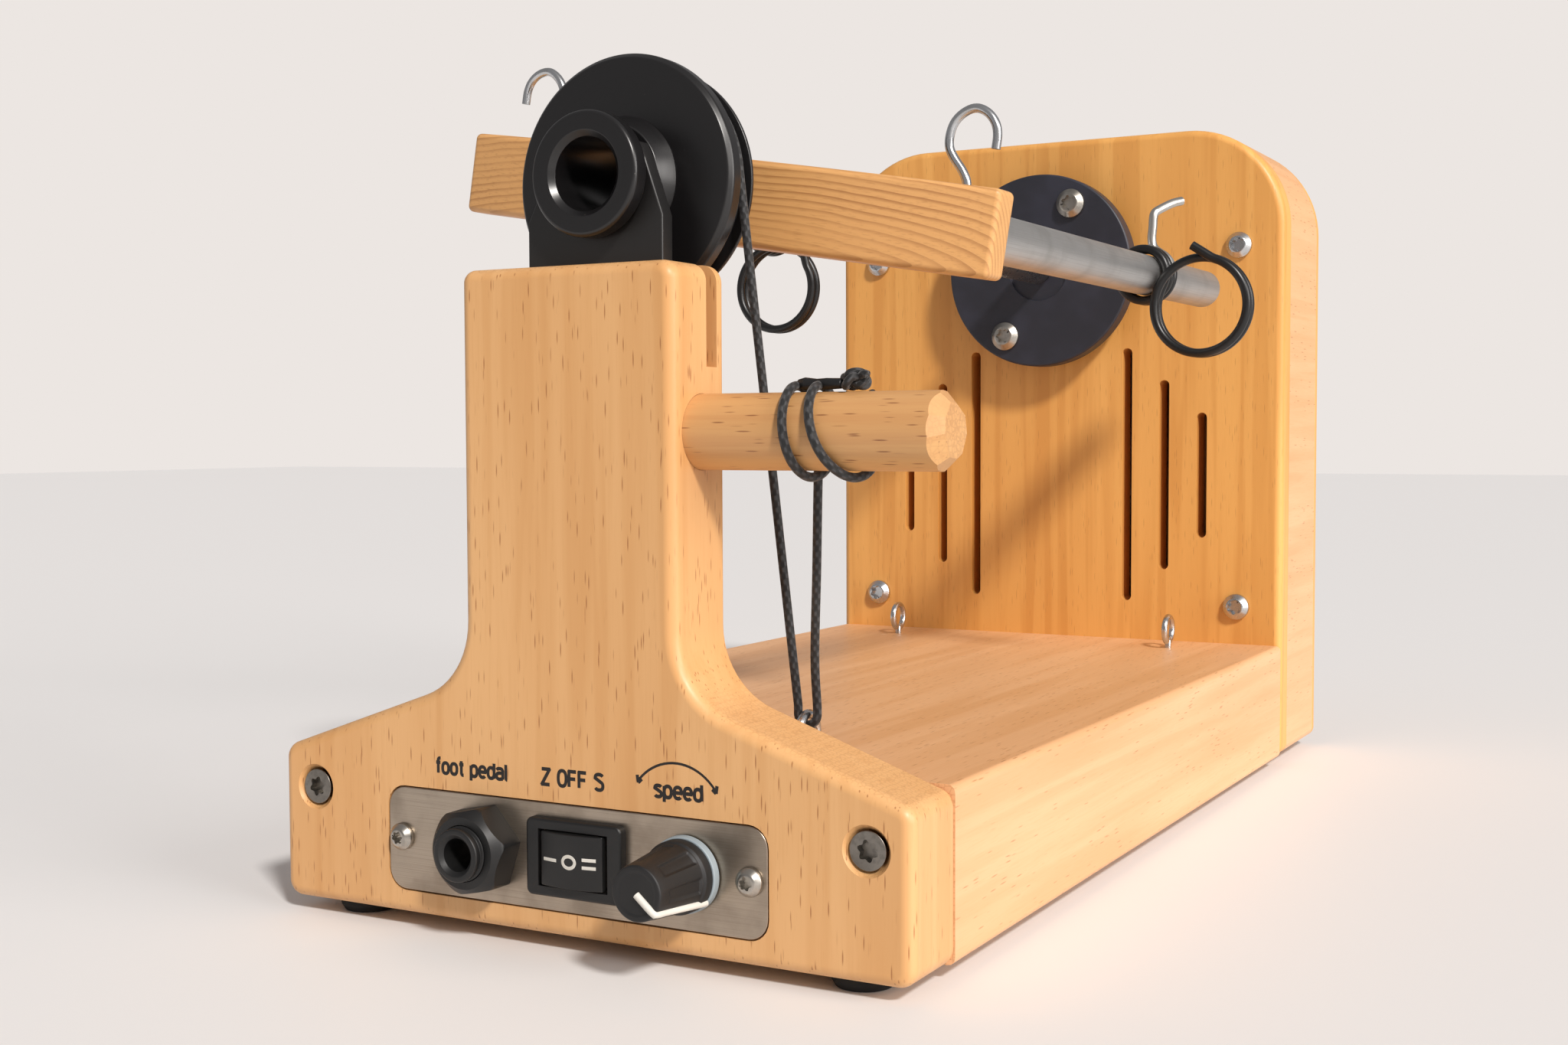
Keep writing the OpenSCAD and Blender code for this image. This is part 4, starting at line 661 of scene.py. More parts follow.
def inset(outline: Sequence[Point2], d: float) -> list[Point2]:
    """Moves an anticlockwise outline inwards by d.

    Args:
        outline: The outline.
        d: The distance.

    Returns:
        The smaller outline.
    """
    moved = []
    for i, p in enumerate(outline):
        before = (Vector(p) - Vector(outline[i - 1])).normalized()
        after = (Vector(outline[(i + 1) % len(outline)]) - Vector(p)).normalized()
        n1, n2 = Vector((-before.y, before.x)), Vector((-after.y, after.x))
        mid = (n1 + n2).normalized()
        # A very sharp corner moves no further than this limit lets it
        far = d / max(0.3, mid.dot(n1))
        moved.append((p[0] + mid.x * far, p[1] + mid.y * far))
    return moved


def in_metres(points: Sequence[Point3]) -> list[Point3]:
    """Turns points in millimetres into points in metres."""
    return [(p[0] * MM, p[1] * MM, p[2] * MM) for p in points]


def show(name: str, data: bpy.types.ID) -> Piece:
    """Makes an object of its data and puts it in the scene.

    Args:
        name: The object's name.
        data: Its mesh, lamp or camera.

    Returns:
        The object.
    """
    piece = bpy.data.objects.new(name, data)
    bpy.context.scene.collection.objects.link(piece)
    return piece


def discard(*pieces: Piece) -> None:
    """Removes pieces with their meshes.

    Args:
        *pieces: The pieces.
    """
    for piece in pieces:
        mesh = piece.data
        bpy.data.objects.remove(piece)
        bpy.data.meshes.remove(mesh)


@contextmanager
def edited(mesh: bpy.types.Mesh) -> Iterator[bmesh.types.BMesh]:
    """Opens a mesh for changes and writes them back.

    Args:
        mesh: The mesh.

    Yields:
        The open mesh.
    """
    build = bmesh.new()
    build.from_mesh(mesh)
    yield build
    build.to_mesh(mesh)
    build.free()


def to_object(name: str, points: Sequence[Point3], faces: Sequence[Sequence[int]]) -> Piece:
    """Makes a mesh object from points in millimetres, with its faces turned outwards.

    Args:
        name: The piece's name.
        points: Its points.
        faces: The points' numbers round each face.

    Returns:
        The piece.
    """
    mesh = bpy.data.meshes.new(name)
    mesh.from_pydata(in_metres(points), [], faces)
    mesh.update()
    with edited(mesh) as build:
        bmesh.ops.remove_doubles(build, verts=build.verts, dist=1e-7)
        bmesh.ops.recalc_face_normals(build, faces=build.faces)
    return show(name, mesh)


def placed(axis: Axis, u: float, v: float, t: float) -> Point3:
    """Places outline point (u, v) at depth t along an axis.

    Along Y the outline is in X and Z, along Z in X and Y, and along X in Y and Z.

    Args:
        axis: The axis.
        u: The outline's first coordinate.
        v: Its second coordinate.
        t: The depth.

    Returns:
        The point.
    """
    if axis is Axis.Y:
        return (u, t, v)
    return (u, v, t) if axis is Axis.Z else (t, u, v)


def slab(
    name: str,
    outline: Sequence[Point2],
    start: float,
    end: float,
    ease_start: float = 0.0,
    ease_end: float = 0.0,
    axis: Axis = Axis.Y,
    steps: int = 5,
) -> Piece:
    """Makes a slab with eased edges from an outline.

    Args:
        name: The piece's name.
        outline: An anticlockwise outline.
        start: The first face's place along the axis.
        end: The second face's place.
        ease_start: The edge rounding at the first face.
        ease_end: The edge rounding at the second face.
        axis: The direction of the thickness.
        steps: The number of steps in a rounding.

    Returns:
        The slab.
    """
    rings: list[tuple[list[Point2], float]] = []
    for edge, ease, way in ((start, ease_start, 1), (end, ease_end, -1)):
        turns = [math.pi / 2 * k / steps for k in range(0 if ease else steps, steps + 1)]
        eased = [
            (inset(outline, ease * (1 - math.sin(a))), edge + way * ease * (1 - math.cos(a)))
            for a in turns
        ]
        rings += eased[::way]
    m, last = len(outline), len(rings) - 1
    points = [placed(axis, u, v, t) for ring, t in rings for u, v in ring]
    faces: list[Sequence[int]] = [
        (i * m + k, i * m + (k + 1) % m, (i + 1) * m + (k + 1) % m, (i + 1) * m + k)
        for i in range(last)
        for k in range(m)
    ]
    faces += [range(m), range(last * m, last * m + m)]
    return to_object(name, points, faces)


def lathe(
    name: str,
    profile: Sequence[Corner],
    centre: Point2 = (0, 0),
    axis: Axis = Axis.Y,
    closed: bool = True,
    turns: int = 96,
    n: int = 4,
    shape: Callable[[float, float, float], float] | None = None,
) -> Piece:
    """Turns a profile about an axis.

    Args:
        name: The piece's name.
        profile: Corners as radius, place along the axis, and rounding.
        centre: The axis's place, in the order that placed() takes.
        axis: The direction of the axis.
        closed: Whether the profile is a closed ring; otherwise it starts and ends on the axis.
        turns: The number of steps round the axis.
        n: The number of steps in a rounding.
        shape: Changes a radius, given the radius, the place along the axis and the angle.

    Returns:
        The turned piece.
    """
    if closed:
        line = rounded(profile, n)
    else:
        line = [profile[0][:2]]
        for before, p, after in zip(profile, profile[1:], profile[2:]):
            line += corner_arc(before[:2], p[:2], after[:2], p[2], n)
        line.append(profile[-1][:2])
    points: list[Point3] = []
    for r, t in line:
        for k in range(turns):
            a = 2 * math.pi * k / turns
            far = shape(r, t, a) if shape else r
            points.append(placed(axis, *polar(far, math.degrees(a), centre), t))
    m = len(line)
    faces = [
        (i * turns + k, i * turns + (k + 1) % turns, j * turns + (k + 1) % turns, j * turns + k)
        for i, j in ((i, (i + 1) % m) for i in range(m if closed else m - 1))
        for k in range(turns)
    ]
    return to_object(name, points, faces)


def rod(
    axis: Axis, u: float, v: float, start: float, end: float, r: float, end_r: float | None = None
) -> Piece:
    """Makes a round cutter along an axis, straight or tapered.

    Args:
        axis: Its direction.
        u: Its place, in the order that placed() takes.
        v: Its place, second value.
        start: Its start along the axis.
        end: Its end.
        r: Its radius at the start.
        end_r: Its radius at the end, where that differs.

    Returns:
        The cutter.
    """
    far = r if end_r is None else end_r
    profile = [(0, start, 0), (r, start, 0), (far, end, 0), (0, end, 0)]
    return lathe("cutter", profile, (u, v), axis, closed=False, turns=48)


def flow(points: Sequence[Point3], step: float, rounds: int = 0) -> list[Point3]:
    """Draws a smooth line through points, in steps of about one length.

    Args:
        points: The points it passes through.
        step: The length of a step in millimetres.
        rounds: How often the line is eased after that.

    Returns:
        The line's points.
    """
    p = [Vector(q) for q in points]
    # One more point past each end gives the end its direction
    p = [2 * p[0] - p[1], *p, 2 * p[-1] - p[-2]]
    line = []
    for before, a, b, after in zip(p, p[1:], p[2:], p[3:]):
        count = max(1, round((b - a).length / step))
        m1, m2 = (b - before) / 2, (after - a) / 2
        for t in (k / count for k in range(count)):
            leaving = (2 * t**3 - 3 * t**2 + 1) * a + (t**3 - 2 * t**2 + t) * m1
            line.append(leaving + (3 * t**2 - 2 * t**3) * b + (t**3 - t**2) * m2)
    line.append(p[-2])
    for _ in range(rounds):
        eased = [(a + 2 * b + c) / 4 for a, b, c in zip(line, line[1:], line[2:])]
        line = [line[0], *eased, line[-1]]
    return [tuple(q) for q in line]


def bake(piece: Piece) -> Piece:
    """Turns a piece's modifiers into its mesh.

    Args:
        piece: The piece.

    Returns:
        The same piece.
    """
    bpy.context.view_layer.update()
    graph = bpy.context.evaluated_depsgraph_get()
    mesh = bpy.data.meshes.new_from_object(
        piece.evaluated_get(graph), preserve_all_data_layers=True, depsgraph=graph
    )
    piece.modifiers.clear()
    old, piece.data = piece.data, mesh
    bpy.data.meshes.remove(old)
    return piece


def cut(piece: Piece, *cutters: Piece, way: str = "DIFFERENCE") -> Piece:
    """Takes the cutters' shapes out of a piece, or keeps what they share with INTERSECT.

    Args:
        piece: The piece.
        *cutters: The cutters, which are removed.
        way: The kind of cut.

    Returns:
        The same piece.
    """
    for cutter in cutters:
        boolean = piece.modifiers.new("cut", "BOOLEAN")
        boolean.operation = way
        boolean.solver = "EXACT"
        boolean.object = cutter
    bake(piece)
    discard(*cutters)
    return piece


def ease_edges(piece: Piece, width: float, angle: float) -> Piece:
    """Eases the edges that turn by more than an angle in degrees.

    Args:
        piece: The piece.
        width: The width of the eased edges in millimetres.
        angle: The angle.

    Returns:
        The same piece.
    """
    bevel = piece.modifiers.new("ease", "BEVEL")
    bevel.width = width * MM
    bevel.segments = 2
    bevel.limit_method = "ANGLE"
    bevel.angle_limit = math.radians(angle)
    return bake(piece)


def join(name: str, *pieces: Piece) -> Piece:
    """Puts several pieces' meshes into one object.

    Args:
        name: The object's name.
        *pieces: The pieces, which are removed.

    Returns:
        The object.
    """
    mesh = bpy.data.meshes.new(name)
    with edited(mesh) as build:
        for piece in pieces:
            build.from_mesh(piece.data)
    discard(*pieces)
    return show(name, mesh)


# --------------------------------------------------------------------------------------------
# Geometry Nodes
# --------------------------------------------------------------------------------------------


class NodeTool:
    """A Geometry Nodes tree with named inputs, run on a piece and then made plain mesh."""

    name = "tool"
    inputs: tuple[tuple[str, str], ...] = ()

    def __init__(self) -> None:
        """Builds the tree once."""
        self.tree = bpy.data.node_groups.new(self.name, "GeometryNodeTree")
        sockets = self.tree.interface
        for label, kind in (*self.inputs, ("Finish", "Material")):
            sockets.new_socket(name=label, in_out="INPUT", socket_type="NodeSocket" + kind)
        sockets.new_socket(name="Result", in_out="OUTPUT", socket_type="NodeSocketGeometry")
        given = add_node(self.tree, "NodeGroupInput").outputs
        real = self.step("RealizeInstances", {"Geometry": self.build(given)})
        dressed = self.step("SetMaterial", {"Geometry": real, "Material": given["Finish"]})
        add_node(self.tree, "NodeGroupOutput", {"Result": dressed})

    def step(self, kind: str, inputs: dict | None = None, **settings: object) -> Socket:
        """Adds a geometry node, named without its prefix, and gives its first output."""
        return add_node(self.tree, "GeometryNode" + kind, inputs, **settings).outputs[0]

    def build(self, given: bpy.types.NodeOutputs) -> Socket:
        """Adds the tool's own nodes.

        Args:
            given: The sockets of the tree's inputs.

        Returns:
            The socket with the geometry that it makes.
        """
        raise NotImplementedError

    def run(self, name: str, points: list[Point3], edges: list, **values: object) -> Piece:
        """Runs the tree on a new piece of points and edges.

        Args:
            name: The piece's name.
            points: The points of the tree's first input, in metres.
            edges: The edges between them.
            **values: The other inputs, with underscores for the spaces in their names.

        Returns:
            The piece, as plain mesh.
        """
        mesh = bpy.data.meshes.new(name)
        mesh.from_pydata(points, edges, [])
        piece = show(name, mesh)
        modifier = piece.modifiers.new(self.name, "NODES")
        modifier.node_group = self.tree
        wanted = {key.replace("_", " ").capitalize(): value for key, value in values.items()}
        for item in self.tree.interface.items_tree:
            if item.in_out == "INPUT" and item.name in wanted:
                modifier[item.identifier] = wanted[item.name]
        return bake(piece)


class WireSweep(NodeTool):
    """Sweeps a round wire along a path and notes the place along and around it."""

    name = "wire_sweep"
    inputs = (("Path", "Geometry"), ("Wire radius", "Float"), ("Sides", "Int"))

    def build(self, given: bpy.types.NodeOutputs) -> Socket:
        """Adds the path, the round profile and the sweep.

        Args:
            given: The sockets of the tree's inputs.

        Returns:
            The socket with the geometry that it makes.
        """
        curve = self.step("MeshToCurve", {"Mesh": given["Path"]})
        length = add_node(self.tree, "GeometryNodeSplineParameter").outputs["Length"]
        size = {"Resolution": given["Sides"], "Radius": given["Wire radius"]}
        ring = self.step("CurvePrimitiveCircle", size, mode="RADIUS")
        noted = [
            self.step(
                "StoreNamedAttribute", {"Geometry": shape, "Name": name, "Value": value},
                data_type=kind, domain="POINT",
            )
            for shape, name, value, kind in (
                (curve, "along", length, "FLOAT"),
                (ring, "around", self.step("InputPosition"), "FLOAT_VECTOR"),
            )
        ]
        swept = {"Curve": noted[0], "Profile Curve": noted[1], "Fill Caps": True}
        return self.step("CurveToMesh", swept)

    def wire(
        self, name: str, paths: Sequence[Sequence[Point3]], radius: float, finish: Finish,
        sides: int,
    ) -> Piece:
        """Makes wires along paths.

        Args:
            name: The piece's name.
            paths: Each wire's points, in millimetres.
            radius: The wire's radius in millimetres.
            finish: The wire's finish.
            sides: The number of sides of the wire.

        Returns:
            One piece with every wire.
        """
        points: list[Point3] = []
        edges: list[tuple[int, int]] = []
        for path in paths:
            first = len(points)
            points += in_metres(path)
            edges += [(i, i + 1) for i in range(first, len(points) - 1)]
        return self.run(
            name, points, edges, wire_radius=radius * MM, sides=sides, finish=finish.material()
        )


class ScrewSetter(NodeTool):
    """Sets a screw's head on each seat, each turned to where its thread stopped."""

    name = "screw_setter"
    inputs = (
        ("Seats", "Geometry"), ("Head", "Object"), ("Facing", "Vector"), ("Spin axis", "Vector"),
        ("Seed", "Int"),
    )

    def build(self, given: bpy.types.NodeOutputs) -> Socket:
        """Adds the turned instances.

        Args:
            given: The sockets of the tree's inputs.

        Returns:
            The socket with the geometry that it makes.
        """
        tree = self.tree
        head = add_node(tree, "GeometryNodeObjectInfo", {"Object": given["Head"]})
        whole_turn = {2: 0.0, 3: 2 * math.pi, "Seed": given["Seed"]}
        spin = add_node(tree, "FunctionNodeRandomValue", whole_turn, data_type="FLOAT").outputs[1]
        spin = {0: given["Spin axis"], "Scale": spin}
        spin = add_node(tree, "ShaderNodeVectorMath", spin, operation="SCALE").outputs[0]
        way = {0: spin, 1: given["Facing"]}
        way = add_node(tree, "ShaderNodeVectorMath", way, operation="ADD").outputs[0]
        set_in = {"Points": given["Seats"], "Instance": head.outputs["Geometry"], "Rotation": way}
        return self.step("InstanceOnPoints", set_in)

    def screws(
        self, name: str, seats: Sequence[Point3], head: Piece, finish: Finish, seed: int,
        facing: Point3 = (0, 0, 0), spin_axis: Point3 = (0, 1, 0),
    ) -> Piece:
        """Makes a group of screws and removes the head that they copy.

        Args:
            name: The piece's name.
            seats: Where each head stands, in millimetres.
            head: The head, at the origin and facing the front.
            finish: The screws' finish.
            seed: The seed of their turns.
            facing: The turn from the front to where they face, in radians.
            spin_axis: The axis of the screw among X, Y and Z after that turn.

        Returns:
            One piece with every screw.
        """
        piece = self.run(
            name, in_metres(seats), [], head=head, facing=facing, spin_axis=spin_axis, seed=seed,
            finish=finish.material(),
        )
        discard(head)
        return piece


@dataclass(frozen=True)
class ScrewHead:
    """A screw's head with a six-lobed recess, built at the origin and facing the front."""

    radius: float = 3.8
    height: float = 2.6
    recess: float = 1.9
    sunk: bool = False
    lobes: int = 6
    lobe_depth: float = 0.16

    def build(self) -> Piece:
        """Turns the head and cuts its recess."""
        r, h = self.radius, self.height
        if self.sunk:
            profile = [(0, 0, 0), (r, 0, 0.18), (r - 2.0, 2.0, 0.2), (r - 2.0, 3.4, 0), (0, 3.4, 0)]
        else:
            profile = [
                (0, -h, 0), (r * 0.62, -h, 0.7), (r, -h * 0.42, 0.5), (r, 0, 0.15),
                (r * 0.5, 0, 0), (r * 0.5, 1.0, 0), (0, 1.0, 0),
            ]
        head = lathe("screw_head", profile, closed=False, turns=40)
        star = []
        for a in (k * 7.5 for k in range(48)):
            lobe = 1 + self.lobe_depth * math.cos(self.lobes * math.radians(a))
            star.append(polar(self.recess * lobe, a))
        top = 0.0 if self.sunk else -h
        return cut(head, slab("cutter", star, top - 1, top + min(1.6, h * 0.7)))


# --------------------------------------------------------------------------------------------
# What the sub-assemblies share
# --------------------------------------------------------------------------------------------


@dataclass(frozen=True)
class Layout:
    """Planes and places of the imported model, as its source has them."""

    half_w: float = 71.0
    post_half: float = 24.0
    front_y: float = -141.6
    board_back_y: float = -123.6
    box_front_y: float = 113.4
    panel_back_y: float = 121.4
    cover_front_y: float = 154.4
    back_y: float = 158.4
    bottom_z: float = 3.0
    base_top_z: float = 35.5
    post_top_z: float = 129.0
    axis_z: float = 146.5
    box_top_z: float = 186.5
    control_z: float = 18.5
    fork_y: float = -130.0
    fork_back_y: float = -126.3
    slot_z: float = 110.0
    flyer_turn: float = 9.4
    arm_x: float = 57.0
    peg_y: float = -131.6
    peg_z: float = 98.0
    peg_r: float = 7.0
    cord_r: float = 0.85
    cord_gap: float = 0.3
    cord_x: float = 48.5
    cord_y: float = -114.2
    groove_r: float = 20.9
    disc_y: float = 102.9

    def on_flyer(self, piece: Piece) -> Piece:
        """Turns a piece, drawn level about the origin's Y axis, to the flyer's rest.

        Args:
            piece: The piece.

        Returns:
            The same piece.
        """
        turn = Matrix.Rotation(math.radians(self.flyer_turn), 4, "Y")
        piece.data.transform(Matrix.Translation((0, 0, self.axis_z * MM)) @ turn)
        return piece


LAYOUT = Layout()


class Workshop:
    """Gives finished pieces their place in the model: finish, body and node."""

    def __init__(self, frame: dict) -> None:
        """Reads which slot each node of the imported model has, and builds the two tools.
        """
        self.nodes: dict[str, Piece] = frame["nodes"]
        subparts = frame["record"]["subparts"]
        self.slots: dict[str, str] = {s["node"]: s["material_slot"] for s in subparts}
        self.wires = WireSweep()
        self.setter = ScrewSetter()

    def finish(
        self,
        piece: Piece,
        finish: Finish,
        body: Body,
        *nodes: str,
        slot_of: str = "",
        sharp: float = 34.0,
    ) -> None:
        """Smooths a piece, gives it its finish and lets it ride on its body.

        Args:
            piece: The piece, in place.
            finish: Its finish.
            body: The body that it moves with.
            *nodes: The nodes that it stands for.
            slot_of: Not used.
            sharp: The angle from which an edge stays sharp, in degrees.
        """
        piece.data.transform(Matrix.Translation((-ORIGIN_X * MM, 0, 0)))
        piece.data.materials.clear()
        piece.data.materials.append(finish.material())
        for face in piece.data.polygons:
            face.material_index = 0
        piece.data.shade_smooth()
        piece.data.set_sharp_from_angle(angle=math.radians(sharp))
        piece.modifiers.new("even", "WEIGHTED_NORMAL").keep_sharp = True
        bake(piece)
        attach(piece, body.value)
        if nodes:
            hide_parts(*nodes)
        LOG.info("%s: %s, on %s", piece.name, finish.name, body.value)

    def copy(self, node: str, ease: float, name: str) -> Piece:
        """Copies a node's mesh, joins its loose triangles and eases its edges.

        Args:
            node: The node's name.
            ease: The width of the eased edges in millimetres.
            name: The new piece's name.

        Returns:
            The copy.
        """
        mesh = self.nodes[node].data.copy()
        mesh.transform(Matrix.Translation((ORIGIN_X * MM, 0, 0)))
        with edited(mesh) as build:
            bmesh.ops.remove_doubles(build, verts=build.verts, dist=2e-6)
            flat = math.radians(0.6)
            bmesh.ops.dissolve_limit(build, angle_limit=flat, verts=build.verts, edges=build.edges)
        return ease_edges(show(name, mesh), ease, 40)

    def recut(
        self, node: str, ease: float, name: str, finish: Finish, body: Body = Body.STAND
    ) -> None:
        """Copies a node with eased edges and finishes the copy."""
        self.finish(self.copy(node, ease, name), finish, body, node)

    def dress(self, finish: Finish, *nodes: str) -> None:
        """Gives nodes that stay as they are a better material.

        Args:
            finish: Their finish.
            *nodes: The nodes' names.
        """
        for node in nodes:
            piece = self.nodes[node]
            if not piece.material_slots:
                piece.data.materials.append(finish.material())
            for place in piece.material_slots:
                place.link = "OBJECT"
                place.material = finish.material()
            LOG.info("%s: %s, as packed", node, finish.name)

    def wire(
        self, name: str, paths: Sequence[Sequence[Point3]], r: float, finish: Finish, body: Body,
        node: str, sides: int = 16, sharp: float = 60,
    ) -> None:
        """Makes and finishes the wires or cords that stand for a node."""
        piece = self.wires.wire(name, paths, r, finish, sides)
        self.finish(piece, finish, body, node, sharp=sharp)

    def ink(
        self, name: str, strokes: Sequence[Sequence[Point2]], r: float, finish: Finish,
        body: Body, slot_of: str, surface: Callable[[float], float], flat: float, sides: int,
    ) -> None:
        """Paints strokes on a surface that faces the front.

        Args:
            name: The piece's name.
            strokes: The strokes' points in X and Z.
            r: Half the strokes' width.
            finish: The ink's finish.
            body: The body that carries the surface.
            slot_of: A node's name, which it hands on to finish().
            surface: Gives the surface's Y for an X.
            flat: The share of the stroke's thickness that stays.
            sides: The number of sides of a stroke before it is flattened.
        """
        paths = [[(u, 0.0, v) for u, v in stroke] for stroke in strokes]
        piece = self.wires.wire(name, paths, r, finish, sides)
        for vertex in piece.data.vertices:
            vertex.co.y = surface(vertex.co.x / MM) * MM + vertex.co.y * flat
        self.finish(piece, finish, body, slot_of=slot_of)

    def screw(
        self, node: str, seats: Sequence[Point3], head: ScrewHead, finish: Finish, seed: int,
        body: Body = Body.STAND, name: str = "", **turn: Point3,
    ) -> None:
        """Sets and finishes the screws that stand for a node.

        Args:
            node: The node's name.
            seats: Where each head stands.
            head: The head.
            finish: The screws' finish.
            seed: The seed of their turns.
            body: The body that they hold.
            name: The piece's name, where it isn't made from the node's.
            **turn: What ScrewSetter.screws() takes for other ways than the front.
        """
        name = name or node.removesuffix("s") + "_heads"
        piece = self.setter.screws(name, seats, head.build(), finish, seed, **turn)
        self.finish(piece, finish, body, node)


@dataclass
class Section:
    """A sub-assembly, built in the workshop."""

    shop: Workshop

    def build(self) -> None:
        """Builds every piece of the sub-assembly."""
        raise NotImplementedError


# --------------------------------------------------------------------------------------------
# Sub-assemblies
# --------------------------------------------------------------------------------------------


@dataclass
class Stand(Section):
    """The front board with its post, the hollow base, its cover and its feet."""

    shoulder_low: float = 34.0
    shoulder_high: float = 50.5
    shoulder_r: float = 16.0
    corner_r: float = 3.4
    left_top_r: float = 2.5
    edge_r: float = 2.4
    screw_x: float = 62.3
    screw_z: float = 26.3
    foot_x: float = 57.0

    def outline(self) -> list[Point2]:
        """Gives the front board's outline with its hollow shoulders."""
        w, p, r = LAYOUT.half_w, LAYOUT.post_half, self.corner_r
        bottom, low, high, top = (
            LAYOUT.bottom_z, self.shoulder_low, self.shoulder_high, LAYOUT.post_top_z
        )
        corners = [
            (-w, bottom, r), (w, bottom, r), (w, low, r), (p, high, self.shoulder_r), (p, top, r),
            (-p, top, self.left_top_r), (-p, high, self.shoulder_r), (-w, low, r),
        ]
        return rounded(corners, 12)

    def front_board(self) -> None:
        """Builds the board and cuts the slot, the recess, the peg's hole and the countersinks."""
        front, back, z = LAYOUT.front_y, LAYOUT.board_back_y, self.screw_z
        board = slab("front_board_wood", self.outline(), front, back, self.edge_r, 1.2, steps=7)
        slot = rectangle(-80, LAYOUT.slot_z, 80, 200)
        cutters = [
            slab("cutter", slot, LAYOUT.fork_y, LAYOUT.fork_back_y),
            slab("cutter", rectangle(-43.25, 7.75, 43.25, 28.65, 4.2), -150, front + 1.5),
            rod(Axis.X, LAYOUT.peg_y, LAYOUT.peg_z, -16.5, 40, 7.08),
            rod(Axis.X, LAYOUT.peg_y, LAYOUT.peg_z, -40, -16, 2.3),
        ]
        for x in (-self.screw_x, self.screw_x):
            cutters.append(rod(Axis.Y, x, z, front - 1, front + 3.4, 5.3, 2.4))
            cutters.append(rod(Axis.Y, x, z, front + 3.3, back + 1, 2.4))
        self.shop.finish(cut(board, *cutters), Palette.board, Body.STAND, "front_board")

    def base(self) -> None:
        """Copies the base and its bottom cover, and sets the cover's screws."""
        self.shop.recut("base_body", 0.35, "base_wood", Palette.lengthwise_painted_lit)
        self.shop.recut("bottom_cover", 0.3, "bottom_cover_panel", Palette.lengthwise_painted_lit)
        low, high = (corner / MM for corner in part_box("bottom_cover_screws"))
        head = ScrewHead(2.6, 1.6, recess=1.2)
        xs = (low.x + head.radius + ORIGIN_X, high.x - head.radius + ORIGIN_X)
        ys = (low.y + head.radius, (low.y + high.y) / 2, high.y - head.radius)
        self.shop.screw(
            "bottom_cover_screws", [(x, y, LAYOUT.bottom_z) for x in xs for y in ys], head,
            Palette.nickel, 5, facing=(math.pi / 2, 0, 0), spin_axis=(0, 0, 1),
        )

    def feet(self) -> None:
        """Turns the four rubber feet."""
        profile = [(0, 0, 0), (5.2, 0, 0.5), (6, 1.4, 0.6), (6, 3, 0.2), (0, 3, 0)]
        feet = [
            lathe("foot", profile, (x, y), Axis.Z, closed=False, turns=48)
            for x in (-self.foot_x, self.foot_x)
            for y in (LAYOUT.front_y + 10, LAYOUT.back_y - 10)
        ]
        self.shop.finish(join("rubber_foot_set", *feet), Palette.rubber, Body.STAND, "rubber_feet")

    def build(self) -> None:
        """Builds every piece of the stand."""
        self.front_board()
        self.base()
        self.feet()
        seats = [(x, LAYOUT.front_y + 0.45, self.screw_z) for x in (-self.screw_x, self.screw_x)]
        head = ScrewHead(3.8, 2.2, 1.75, sunk=True)
        self.shop.screw("front_board_screws", seats, head, Palette.oiled_steel, 11)


@dataclass
class MotorBox(Section):
    """The box at the back: front panel with vents, housing, back cover and inlet."""

    top_r: float = 29.0
    corner_r: float = 3.0
    vent_w: float = 3.1
    vents: Sequence[tuple[float, float]] = ((24.5, 76.0), (35.9, 56.5), (47.3, 37.0))
    vent_z: float = 85.0
    seats: Sequence[tuple[float, float]] = ((58, 152), (58, 46.5))

    def outline(self) -> list[Point2]:
        """Gives the box's outline."""
        w, low, high = LAYOUT.half_w, LAYOUT.bottom_z, LAYOUT.box_top_z
        low_corners = [(-w, low, self.corner_r), (w, low, self.corner_r)]
        return rounded([*low_corners, (w, high, self.top_r), (-w, high, self.top_r)], 18)

    def panels(self) -> None:
        """Builds the front panel with its vents and the back cover, and copies the housing."""
        front, back, half = LAYOUT.box_front_y, LAYOUT.panel_back_y, self.vent_w / 2
        panel = slab("box_front_panel_wood", self.outline(), front, back, 2.2, 0.0, steps=6)
        cutters = []
        for x, length in [(side * x, length) for side in (-1, 1) for x, length in self.vents]:
            low, high = self.vent_z - length / 2, self.vent_z + length / 2
            vent = rectangle(x - half, low, x + half, high, half - 0.01)
            cutters.append(slab("cutter", vent, front - 3, back + 3))
        cutters.append(rod(Axis.Y, 0, LAYOUT.axis_z, front - 2, back + 2, 8))
        cutters.append(rod(Axis.Y, 0, LAYOUT.axis_z, back - 7, back + 2, 11.02))
        cut(panel, *cutters)
        self.shop.finish(panel, Palette.panel, Body.STAND, "motor_box_front_panel")
        self.shop.recut("motor_box_housing", 0.12, "box_housing_wood", Palette.lengthwise_painted_lit)
        front, back = LAYOUT.cover_front_y, LAYOUT.back_y
        cover = slab("box_back_cover_wood", self.outline(), front, back, 0.2, 1.8)
        cut(cover, rod(Axis.Y, 40, 25, front - 2, back + 2, 4.15))
        self.shop.finish(cover, Palette.panel, Body.STAND, "motor_box_back_cover")

    def build(self) -> None:
        """Builds the box, sets its screws and dresses the power inlet with its pin."""
        self.panels()
        for node, name, y, seed, turn in (
            ("front_panel_screws", "box_front_screw_heads", LAYOUT.box_front_y, 7, 0),
            ("back_cover_screws", "box_back_screw_heads", LAYOUT.back_y, 9, math.pi),
        ):
            seats = [(side * x, y, z) for side in (-1, 1) for x, z in self.seats]
            self.shop.screw(
                node, seats, ScrewHead(), Palette.zinc, seed, name=name, facing=(0, 0, turn)
            )
        self.shop.recut("power_inlet", 0.2, "power_inlet_socket", Palette.moulded)
        self.shop.dress(Palette.nickel, "power_inlet_pin")


